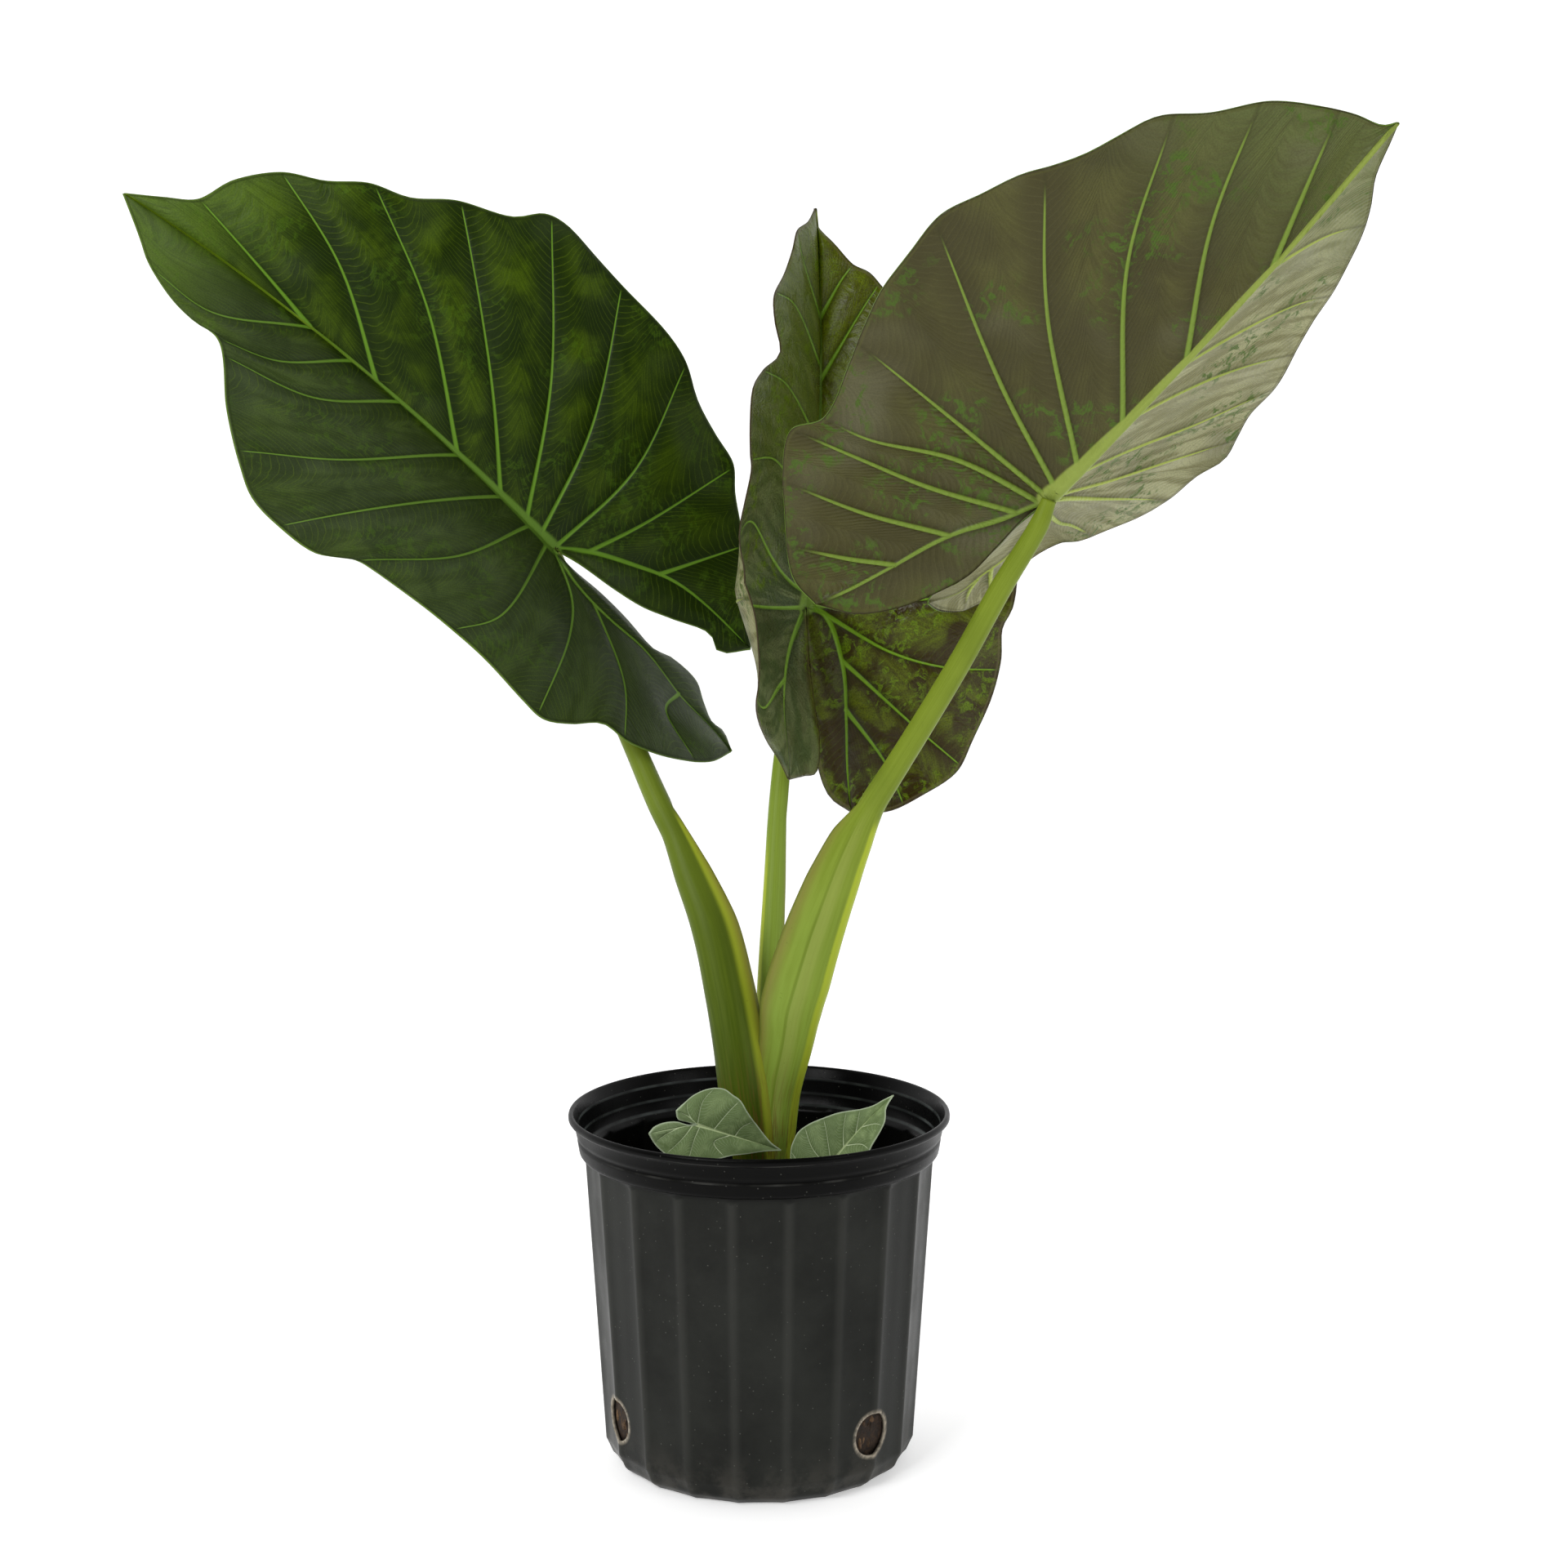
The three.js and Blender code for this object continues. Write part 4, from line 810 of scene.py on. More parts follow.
def make_pot(material):
    """Rings from the underside up the wall, over the lip and down inside, with real drain holes."""
    heights = np.concatenate([
        [0.2, 1, 2.4, 4, 6], np.linspace(8, HEEL_HEIGHT, 5), np.linspace(18, 64, 32),
        np.linspace(70, 186, 21), np.linspace(190, WALL_TOP_HEIGHT, 15),
    ])
    wall_z = [0, 5, HEEL_HEIGHT, WALL_TOP_HEIGHT]
    wall_at = [BASE_RADIUS, BASE_RADIUS + 7, HEEL_RADIUS, WALL_TOP_RADIUS]
    outer = np.interp(heights, wall_z, wall_at)
    inner = (outer - WALL)[::-1]
    # A point is radius, height, and 1 where the flutes are
    profile = [(BASE_RADIUS - inset, z, 0) for inset, z in ((30, 2.4), (14, 2.2), (12, 0.4), (8, 0))]
    outer_from = len(profile)
    profile += [(r, z, 1) for r, z in zip(outer, heights)]
    outer_to = len(profile)
    profile += [(RIM_RADIUS - inset, z, 0) for inset, z in LIP]
    inner_from = len(profile)
    profile += [(r, max(z, FLOOR + 0.05 * k), 1) for k, (r, z) in enumerate(zip(inner, heights[::-1]))]
    profile += [(BASE_RADIUS - 10, FLOOR, 0), (BASE_RADIUS - 40, FLOOR, 0)]
    profile = np.array(profile)
    shape = (len(profile), POT_COLUMNS)
    angle = np.linspace(0, 2 * np.pi, POT_COLUMNS, endpoint=False)
    walls = np.zeros(shape, bool)
    walls[outer_from:outer_to] = True
    walls[inner_from:inner_from + len(heights)] = True
    inside = np.zeros(shape)
    inside[outer_to + LIP_INSIDE_FROM:] = 1
    level = np.broadcast_to(profile[:, 1:2], shape)
    turn, level, gone, wear = open_drains(np.broadcast_to(angle, shape), level, walls)

    depth, ridge = flute(turn)
    top = WALL_TOP_HEIGHT + 2.5 - 3 * ridge ** 3
    share = smooth(top - level, 0, 4) * (0.8 + 0.2 * smooth(level, 0, 5))
    shown = np.where(profile[:, 2:3] > 0, share, 0)
    wall = np.interp(level, wall_z, wall_at)
    wall = np.where(inside > 0, wall - WALL, wall)
    radius = np.where(walls, wall, profile[:, 0:1]) - FLUTE_DEPTH * depth * shown
    points = ring(radius, turn, level).reshape(-1, 3)
    faces = [face for face in ring_faces(*shape) if not gone[face].any()]

    # The edge of each hole, across the thickness of the wall
    ids = np.arange(len(points)).reshape(shape)
    mirror = {}
    for k in range(len(heights)):
        for a, b in zip(ids[outer_from + k], ids[inner_from + len(heights) - 1 - k]):
            mirror[int(a)] = int(b)
    edges = {(face[k - 1], face[k]) for face in faces for k in range(4)}
    for p, q in sorted(edges):
        if (q, p) not in edges and p in mirror and q in mirror:
            faces.append([q, p, mirror[p], mirror[q]])
    # The underside and the floor, as fans round the axis
    points = np.vstack([points, [[0, 0, 2.4], [0, 0, FLOOR]]])
    for i in range(POT_COLUMNS):
        j = (i + 1) % POT_COLUMNS
        faces.append([ids.size, int(ids[0][j]), int(ids[0][i])])
        faces.append([ids.size + 1, int(ids[-1][i]), int(ids[-1][j])])
    used = np.zeros(len(points), bool)
    for face in faces:
        used[face] = True
    renumber = np.cumsum(used) - 1
    faces = [[int(renumber[i]) for i in face] for face in faces]
    values = dict(wear=(wear, 0, 0), ridge=(ridge * shown, 0, 0), inside=(inside, 0, 1), turn=(turn, 0, 0))
    values = {key: np.append(grid.ravel(), ends)[used] for key, (grid, *ends) in values.items()}
    return build("nursery_pot", points[used], faces, [material], values=values)


def soil_height(x, y):
    mound = 6 * np.exp(-(x * x + y * y) / 1800)
    lumps = np.sin(x * 0.21 + 1.3) * np.cos(y * 0.17 - 0.4) + 0.6 * np.sin(x * 0.083 - y * 0.11)
    return SOIL_TOP + mound + SOIL_LUMPS * 0.5 * lumps


def bark_chip(rng, centre, size, tilt):
    """A split flake of bark, as points and faces round its centre."""
    around = 9
    turn = np.linspace(0, 2 * np.pi, around, endpoint=False) + rng.uniform(-0.25, 0.25, around)
    reach = rng.uniform(0.75, 1.1, around)
    long, wide, thick = size
    x = np.cos(turn) * reach * long / 2
    y = np.sin(turn) * reach * wide / 2
    layers = ((-0.5, 0.72), (-0.18, 1), (0.25, 0.96), (0.5, 0.66))
    points = []
    for z, grow in layers:
        bump = rng.uniform(-0.12, 0.12, around)
        points.append(np.stack([x * grow, y * grow, (z + bump) * thick], axis=1))
    points = np.vstack(points)
    yaw = rng.uniform(0, 2 * np.pi)
    pitch, roll = tilt
    for i, j, angle in ((1, 2, roll), (2, 0, pitch), (0, 1, yaw)):
        c, d = np.cos(angle), np.sin(angle)
        p = points.copy()
        points[:, i] = c * p[:, i] - d * p[:, j]
        points[:, j] = d * p[:, i] + c * p[:, j]
    faces = ring_faces(len(layers), around)
    faces.append(list(range(around))[::-1])
    faces.append([(len(layers) - 1) * around + i for i in range(around)])
    return points + centre, faces


def make_soil(material):
    """The body of soil with loose bark on top and behind the drain holes."""
    rng = np.random.default_rng(31)
    low = BASE_RADIUS - WALL - 3.6
    heel = HEEL_RADIUS - WALL - 2.6
    share = (SOIL_TOP - HEEL_HEIGHT) / (WALL_TOP_HEIGHT - HEEL_HEIGHT)
    high = HEEL_RADIUS + (WALL_TOP_RADIUS - HEEL_RADIUS) * share - WALL - 3.6
    turn = np.linspace(0, 2 * np.pi, SOIL_COLUMNS, endpoint=False)
    bottom = HEEL_HEIGHT + 1.4
    body = [(0.001, FLOOR + 0.4), (low, FLOOR + 0.4), (heel, bottom)]
    for k in np.linspace(0.1, 1, 8):
        body.append((heel + (high - heel) * k, bottom + (SOIL_TOP - HEEL_HEIGHT - 8) * k))
    rings = [ring(radius, turn, z) for radius, z in body]
    for radius in high * np.linspace(0.99, 0.001, 34):
        x, y = radius * np.cos(turn), radius * np.sin(turn)
        rings.append(ring(radius, turn, soil_height(x, y) - 1.5 + rng.normal(0, 0.6, SOIL_COLUMNS)))
    faces = ring_faces(len(rings), SOIL_COLUMNS)
    parts = [np.vstack(rings)]
    shade = [np.zeros(len(parts[0]))]

    def add_chip(centre, size, tilt):
        chip, chip_faces = bark_chip(rng, centre, size, tilt)
        before = sum(len(part) for part in parts)
        parts.append(chip)
        faces.extend([i + before for i in face] for face in chip_faces)
        shade.append(np.full(len(chip), rng.uniform(0.1, 1)))

    for _ in range(LOOSE_CHIPS):
        radius = (high - 8) * np.sqrt(rng.uniform(0.045, 1))
        angle = rng.uniform(0, 2 * np.pi)
        x, y = radius * np.cos(angle), radius * np.sin(angle)
        long = rng.uniform(7, 19)
        size = (long, long * rng.uniform(0.4, 0.75), rng.uniform(2.5, 5.5))
        centre = np.array([x, y, soil_height(x, y) - rng.uniform(-0.5, 2.2)])
        add_chip(centre, size, rng.normal(0, 0.35, 2))
    for drain in np.radians(DRAIN_ANGLES):
        for _ in range(DRAIN_CHIPS):
            angle = drain + rng.uniform(-0.12, 0.12)
            z = DRAIN_CENTRE + rng.uniform(-15, 15)
            radius = np.interp(z, [HEEL_HEIGHT, WALL_TOP_HEIGHT], [heel, heel + 11]) - 1.2
            centre = np.array([radius * np.cos(angle), radius * np.sin(angle), z])
            size = (rng.uniform(6, 14), rng.uniform(1.5, 5), 3)
            add_chip(centre, size, (np.pi / 2 + rng.normal(0, 0.3), angle))
    return build("bark_soil", np.vstack(parts), faces, [material], values=dict(shade=np.concatenate(shade)))


def make_corm(material):
    """The short rootstock, with faint rings of leaf scars."""
    count = 96
    turn = np.linspace(0, 2 * np.pi, count, endpoint=False)
    bottom = CORM_TOP - CORM_DEPTH
    top = CORM_TOP - 0.2
    profile = Curve([
        (0.5, bottom), (CORM_RADIUS * 0.55, bottom + 3), (CORM_RADIUS * 0.9, bottom + 20),
        (CORM_RADIUS * 0.98, bottom + 42), (CORM_RADIUS * 0.95, CORM_TOP - 4), (CORM_RADIUS * 0.84, top),
        (0.5, top),
    ]).at(np.linspace(0, 1, 70))
    rings = []
    for radius, z in profile:
        scar = 0.5 * np.sin(z * 1.1 + 1.5 * np.sin(turn * 2)) * smooth(radius, 4, 14)
        rings.append(ring(np.maximum(radius + scar - 0.5, 0.3), turn, z))
    faces = ring_faces(len(rings), count)
    faces.append(list(range(count))[::-1])
    faces.append([(len(rings) - 1) * count + i for i in range(count)])
    return build("corm_knot", np.vstack(rings), faces, [material])


# Materials


class Paint:
    """One material. Its short calls add nodes, and lay puts a colour over those before it."""

    def __init__(self, name, ground):
        self.material = bpy.data.materials.new(name)
        self.material.use_nodes = True
        self.nodes = self.material.node_tree.nodes
        self.links = self.material.node_tree.links
        self.shader = self.nodes["Principled BSDF"]
        self.colour = ground

    def put(self, socket, value):
        if isinstance(value, bpy.types.NodeSocket):
            self.links.new(value, socket)
        elif isinstance(value, tuple) and len(value) == 3 and socket.type == "RGBA":
            socket.default_value = (*value, 1)
        else:
            socket.default_value = value

    def node(self, kind, *inputs, **named):
        node = self.nodes.new(kind)
        for socket, value in zip(node.inputs, inputs):
            self.put(socket, value)
        for name, value in named.items():
            self.put(node.inputs[name], value)
        return node

    def math(self, operation, a, b=0.0):
        node = self.node("ShaderNodeMath", a, b)
        node.operation = operation
        return node.outputs[0]

    def product(self, first, *others):
        for other in others:
            first = self.math("MULTIPLY", first, other)
        return first

    def value(self, name):
        node = self.nodes.new("ShaderNodeAttribute")
        node.attribute_name = name
        return node.outputs["Fac"]

    def place(self, x, y, z=0.0):
        return self.node("ShaderNodeCombineXYZ", x, y, z).outputs[0]

    def object_place(self):
        return self.nodes.new("ShaderNodeTexCoord").outputs["Object"]

    def noise(self, vector, scale, detail=3.0, rough=0.5, distortion=0.0):
        node = self.node(
            "ShaderNodeTexNoise", Vector=vector, Scale=scale, Detail=detail, Roughness=rough,
            Distortion=distortion,
        )
        return node.outputs["Fac"]

    def cells(self, vector, scale):
        return self.node("ShaderNodeTexVoronoi", Vector=vector, Scale=scale).outputs["Distance"]

    def ramp(self, value, low, high, to_low=0.0, to_high=1.0):
        node = self.node("ShaderNodeMapRange", value, low, high, to_low, to_high)
        node.interpolation_type = "SMOOTHSTEP"
        return node.outputs[0]

    def near(self, value, centre, far, close):
        """1 where the value is close to the centre, falling to 0 where it is far from it."""
        return self.ramp(self.math("ABSOLUTE", self.math("SUBTRACT", value, centre)), far, close)

    def mix(self, factor, a, b):
        node = self.nodes.new("ShaderNodeMix")
        node.data_type = "RGBA"
        for place, value in ((0, factor), (6, a), (7, b)):
            self.put(node.inputs[place], value)
        return node.outputs[2]

    def lay(self, colour, *factors):
        self.colour = self.mix(self.product(*factors), self.colour, colour)

    def finish(self, rough, specular, relief=None, strength=0.0, distance=0.0):
        self.put(self.shader.inputs["Base Color"], self.colour)
        self.put(self.shader.inputs["Roughness"], rough)
        self.put(self.shader.inputs["Specular IOR Level"], specular)
        if relief is not None:
            bump = self.node("ShaderNodeBump", Height=relief, Strength=strength, Distance=distance)
            self.put(self.shader.inputs["Normal"], bump.outputs[0])
        return self.material


def leaf_paint(name, look):
    """A blade's side: clouded panels, painted sheen and shade, fine side veins, pale main veins, midrib and
    margin.
    """
    p = Paint(name, look["dark"])
    panel = p.value("panel")
    margin = p.value("margin")
    along = p.value("along")
    out = p.value("out")
    flat = p.place(out, along)
    jitter = p.noise(flat, 0.05, 2.0)
    phase = p.math("ADD", p.value("phase"), p.product(p.math("SUBTRACT", jitter, 0.5), 9.0))
    streak_place = p.place(p.product(phase, 0.16), p.product(panel, 0.8), jitter)
    streak = p.noise(streak_place, 1.3, 4.0, 0.6)
    cloud = p.noise(flat, look["cloud_scale"], 3.0, 0.55, 0.6)
    broken = p.ramp(streak, 0.3, 0.62, 0.45, 1.0)
    high = p.ramp(along, *look["height"], *look["height_share"])
    # Paler clouds in the panels, partly the blade's own colour and partly painted light, more further up
    p.lay(look["light"], p.ramp(cloud, *look["cloud"]), p.ramp(panel, 0.08, 0.75), broken, high)

    # Painted sheen on the half where out is below zero, painted shade in its folds, the tip and more sheen
    far = p.product(p.ramp(out, 3.0, -8.0), p.ramp(cloud, 0.25, 0.6, 0.55, 1.0))
    p.lay(look["far"], far, look["far_share"])
    # Painted shade in the folds of the half with painted sheen
    fold_place = p.place(p.product(panel, 2.6), p.product(phase, 0.02), jitter)
    fold = p.ramp(p.noise(fold_place, 1.3, 2.0, 0.4), 0.4, 0.62)
    p.lay(look["fold"], fold, far, look["fold_share"])
    # The tip's colour; on UPPER it is a painted glow of light near the tip
    tip = p.ramp(along, *look["tip_from"])
    p.lay(look["tip"], tip, p.ramp(streak, 0.25, 0.65, 0.5, 1.0), look["tip_share"])
    # Broad patches of painted sheen over the blade
    p.lay(look["painted_sheen"], p.ramp(p.noise(flat, 0.011, 2.0), 0.52, 0.75, 0.0, look["painted_sheen_share"]))

    # Side veins, mottles and specks
    wave = p.math("DIVIDE", p.math("PINGPONG", phase, look["spacing"]), look["spacing"])
    drawn = p.ramp(streak, 0.25, 0.6, 0.35, 1.0)
    p.lay(look["side_vein"], p.ramp(wave, 0.78, 0.98), drawn, p.ramp(margin, 1.0, 6.0), look["line"])
    patch = p.ramp(p.noise(p.place(out, along, 7.0), 0.02, 2.0), 0.5, 0.6)
    spotted = p.ramp(p.noise(flat, 0.13, 5.0, 0.65, 1.0), 0.5, 0.6)
    p.lay(look["mottle"], patch, spotted, look["mottle_share"])
    p.lay(look["speck"], p.ramp(p.noise(flat, 0.9, 3.0, 0.6), 0.35, 0.75, 0.0, look["speckle"]))

    # Main veins, midrib and margin
    vein_ratio = p.math("DIVIDE", p.value("vein_away"), p.value("vein_wide"))
    rib_away = p.value("rib_away")
    rib_ratio = p.math("DIVIDE", rib_away, p.value("rib_wide"))
    # A darker band beside the main veins: painted shade in the dips along them
    p.lay(look["vein_dark"], p.ramp(vein_ratio, 3.6, 0.8, 0.0, look["halo"]))
    # The main veins are paler on the half with painted sheen
    vein_colour = p.mix(p.product(far, look["fold_share"]), look["vein"], look["far_vein"])
    p.lay(vein_colour, p.ramp(vein_ratio, 1.15, 0.45), p.ramp(margin, *look["vein_end"]))
    p.lay(look["rib"], p.ramp(rib_ratio, *look["rib_edge"]))
    thin_rib = p.product(p.ramp(rib_away, 1.3, 0.5), p.ramp(along, 120.0, 260.0))
    p.lay(look["side_vein"], thin_rib, look["thin_rib"])
    p.lay(look["rim"], p.ramp(margin, 1.1, 0.4))
    p.lay(look["inner_rim"], p.ramp(margin, 1.2, 1.8), p.ramp(margin, 3.4, 2.4), 0.5)

    relief = p.product(wave, look["relief"])
    for vector, scale, detail, rough, distortion, share in (
        (flat, 0.3, 4.0, 0.6, 0.0, 0.35), (streak_place, 6.0, 3.0, 0.5, 0.0, 0.25),
        (flat, 0.07, 3.0, 0.5, 0.8, look["pucker"]),
    ):
        grain = p.noise(vector, scale, detail, rough, distortion)
        relief = p.math("ADD", relief, p.product(grain, share))
    rough = p.ramp(p.noise(flat, 0.035, 3.0), 0.3, 0.7, *look["rough"])
    return p.finish(rough, look["gloss"], relief, look["bump"], 0.0012)


# In a look, dark and light make the panels; light is partly the blade's own paler colour and partly painted
# light, shining through the upper side and a sheen on the underside. far is a painted sheen on the half
# where out is below zero, and fold is painted shade in its folds. A _share, or a name such as halo or
# speckle, says how much of a colour shows.
UPPER = dict(
    dark=(0.011, 0.024, 0.0006), light=(0.060, 0.105, 0.002), cloud_scale=0.03, cloud=(0.36, 0.66),
    height=(-160, 150), height_share=(0.35, 0.85), painted_sheen=(0.08, 0.11, 0.045), painted_sheen_share=0.3,
    spacing=2.7, line=0.3, side_vein=(0.12, 0.19, 0.006), speck=(0.006, 0.014, 0.0006), speckle=0.35,
    vein=(0.12, 0.25, 0.02), vein_dark=(0.009, 0.02, 0.0006), halo=0.35, vein_end=(2.0, 9.0),
    rib=(0.11, 0.21, 0.024), rib_edge=(0.9, 0.5), rim=(0.10, 0.17, 0.02), inner_rim=(0.014, 0.026, 0.001),
    tip=(0.12, 0.20, 0.025), tip_from=(250, 350), tip_share=0.7, far=(0.066, 0.094, 0.034), far_share=0.5,
    fold=(0.02, 0.035, 0.004), fold_share=0.5, far_vein=(0.15, 0.26, 0.04), thin_rib=0.9,
    mottle=(0.075, 0.16, 0.006), mottle_share=0.3,
    relief=0.1, pucker=1.2, bump=0.35, rough=(0.36, 0.5), gloss=0.1,
)
MIDDLE = dict(
    UPPER, dark=(0.032, 0.019, 0.001), light=(0.11, 0.145, 0.002), cloud_scale=0.035, cloud=(0.44, 0.58),
    height_share=(0.9, 1.0), painted_sheen=(0.13, 0.13, 0.05), painted_sheen_share=0.3, line=0.2,
    rim=(0.05, 0.035, 0.012), inner_rim=(0.12, 0.10, 0.04), rough=(0.25, 0.4), gloss=0.2,
    tip=(0.14, 0.19, 0.002), tip_from=(20, 150), tip_share=0.6, far=(0.19, 0.23, 0.10), far_share=0.85,
    fold=(0.03, 0.06, 0.015), fold_share=0.7, far_vein=(0.22, 0.38, 0.06), mottle=(0.13, 0.22, 0.003),
    mottle_share=0.8, vein=(0.15, 0.29, 0.015), vein_end=(1.0, 6.0), rib=(0.19, 0.30, 0.05),
    speck=(0.018, 0.014, 0.001), speckle=0.7, pucker=2.2, bump=0.6,
)
UNDER = dict(
    UPPER, dark=(0.050, 0.045, 0.013), light=(0.082, 0.080, 0.020), cloud_scale=0.018, cloud=(0.35, 0.65),
    height=(-150, 290), height_share=(0.7, 1.0), painted_sheen=(0.13, 0.125, 0.07), painted_sheen_share=0.55,
    line=0.22, side_vein=(0.11, 0.105, 0.035), speck=(0.034, 0.030, 0.007), speckle=0.35,
    vein=(0.15, 0.225, 0.03), vein_dark=(0.034, 0.032, 0.008), halo=0.4, vein_end=(8.0, 30.0),
    rib=(0.225, 0.285, 0.05), rib_edge=(1.15, 0.85), rim=(0.035, 0.030, 0.008),
    inner_rim=(0.07, 0.07, 0.016),
    tip=(0.115, 0.15, 0.04), tip_from=(150, 290), far=(0.36, 0.36, 0.19), far_share=0.9,
    fold=(0.17, 0.165, 0.065), fold_share=0.9, far_vein=(0.36, 0.43, 0.08), thin_rib=0.0,
    mottle=(0.060, 0.115, 0.010), mottle_share=0.9,
    relief=0.5, pucker=1.6, bump=0.5, rough=(0.36, 0.52), gloss=0.16,
)
PUP_UPPER = dict(
    UPPER, dark=(0.15, 0.22, 0.08), light=(0.30, 0.40, 0.17), painted_sheen=(0.38, 0.46, 0.28), painted_sheen_share=0.5,
    cloud_scale=0.09, spacing=1.1, side_vein=(0.42, 0.52, 0.30), line=0.55, speck=(0.10, 0.14, 0.05),
    vein=(0.56, 0.66, 0.40), vein_dark=(0.11, 0.16, 0.06), vein_end=(0.4, 3.0), rib=(0.50, 0.60, 0.32),
    rib_edge=(1.4, 0.8), rim=(0.40, 0.48, 0.32), inner_rim=(0.15, 0.21, 0.09), bump=0.45, pucker=1.5,
    rough=(0.5, 0.65), gloss=0.2, height=(-20, 40), tip=(0.2, 0.28, 0.1), far_share=0.0, fold_share=0.0,
    mottle=(0.08, 0.13, 0.03), mottle_share=0.5, thin_rib=0.0,
)
PUP_UNDER = dict(PUP_UPPER, dark=(0.18, 0.21, 0.10), light=(0.26, 0.30, 0.15))

# Stems. A turn is a place round the section, from 0 to 1, and a crease_turn above 1 leaves the crease out
PALE_STEM = dict(
    green=(0.15, 0.205, 0.012), pale=(0.20, 0.265, 0.026), shade=(0.10, 0.145, 0.008),
    low=(0.235, 0.34, 0.045), strip_turn=0.33, crease_turn=0.517,
)
# The left stem, painted darker for the shade on it, most of all low down
SHADED_STEM = dict(
    green=(0.13, 0.185, 0.014), pale=(0.19, 0.25, 0.03), shade=(0.08, 0.12, 0.006),
    low=(0.055, 0.088, 0.002), strip_turn=0.0, crease_turn=2.0,
)
STRIP = (0.42, 0.50, 0.03)
BESIDE_CREASE = (0.31, 0.34, 0.09)
STEM_SPOT = (0.07, 0.10, 0.01)
STEM_LIP = (0.20, 0.13, 0.04)
DRY_FOOT = (0.17, 0.08, 0.02)

# Pot colours, some of them painted highlight and shade, and the heights of the steps that show as pale
# lines of painted highlight, in metres
POT_BLACK = (0.0013, 0.0013, 0.0011)
POT_DUSTY = (0.022, 0.0232, 0.020)
POT_RIDGE_HIGHLIGHT = (0.06, 0.06, 0.054)
POT_PALE_FOOT = (0.10, 0.092, 0.078)
POT_SCRATCH = (0.11, 0.108, 0.10)
POT_WORN = (0.40, 0.35, 0.27)
POT_INSIDE_SHADE = (0.002, 0.002, 0.002)
POT_STEP_GLINT = (0.085, 0.095, 0.095)
POT_SPECK = (0.12, 0.12, 0.105)
POT_EDGE_GLINT = (0.05, 0.05, 0.046)
INNER_STEPS = (0.2325, 0.2225, 0.2145)
OUTER_STEPS = (0.2225, 0.2358)


def stem_paint(name, look):
    """Smooth stalk: faint streaks, a bright strip down the sheath, thin lips and a dry brown foot."""
    p = Paint(name, look["green"])
    height = p.value("height")
    turn = p.value("turn")
    sheath = p.value("sheath")
    around = p.product(turn, 22.0)
    grain_place = p.place(p.product(height, 0.008), around)
    streak = p.noise(grain_place, 2.2, 4.0, 0.55)
    cloud = p.noise(p.object_place(), 16.0, 3.0, 0.5)
    p.lay(look["pale"], p.ramp(streak, 0.3, 0.72, 0.1, 0.75))
    p.lay(look["shade"], p.ramp(cloud, 0.45, 0.75, 0.0, 0.5))
    # Towards the bottom: paler on the pale stems, painted shade on the left stem
    p.lay(look["low"], p.ramp(height, 380.0, 130.0), p.ramp(streak, 0.25, 0.7, 0.6, 1.0))
    p.lay(STRIP, p.near(turn, look["strip_turn"], 0.06, 0.035), p.ramp(sheath, 0.15, 0.5), 0.8)
    crease = look["crease_turn"]
    beside = p.product(p.ramp(turn, crease - 0.09, crease - 0.04), sheath)
    p.lay(BESIDE_CREASE, beside, p.ramp(turn, crease + 0.004, crease - 0.002), 0.35)
    p.lay(look["shade"], p.near(turn, crease + 0.008, 0.012, 0.003), sheath, 0.45)
    spot = p.cells(p.place(p.product(height, 0.2), around), 1.0)
    p.lay(STEM_SPOT, p.ramp(spot, 0.12, 0.04, 0.0, 0.3))
    p.lay(STEM_LIP, p.value("lip"), 0.55)
    dry = p.product(p.ramp(height, 150.0, 40.0), p.ramp(p.noise(grain_place, 4.0, 4.0), 0.5, 0.62))
    p.lay(DRY_FOOT, dry, p.ramp(sheath, 0.2, 0.6, 0.0, 0.8))
    relief = p.math("ADD", streak, p.product(p.noise(grain_place, 9.0, 3.0), 0.5))
    return p.finish(p.ramp(cloud, 0.3, 0.7, 0.34, 0.48), 0.12, relief, 0.16, 0.0006)


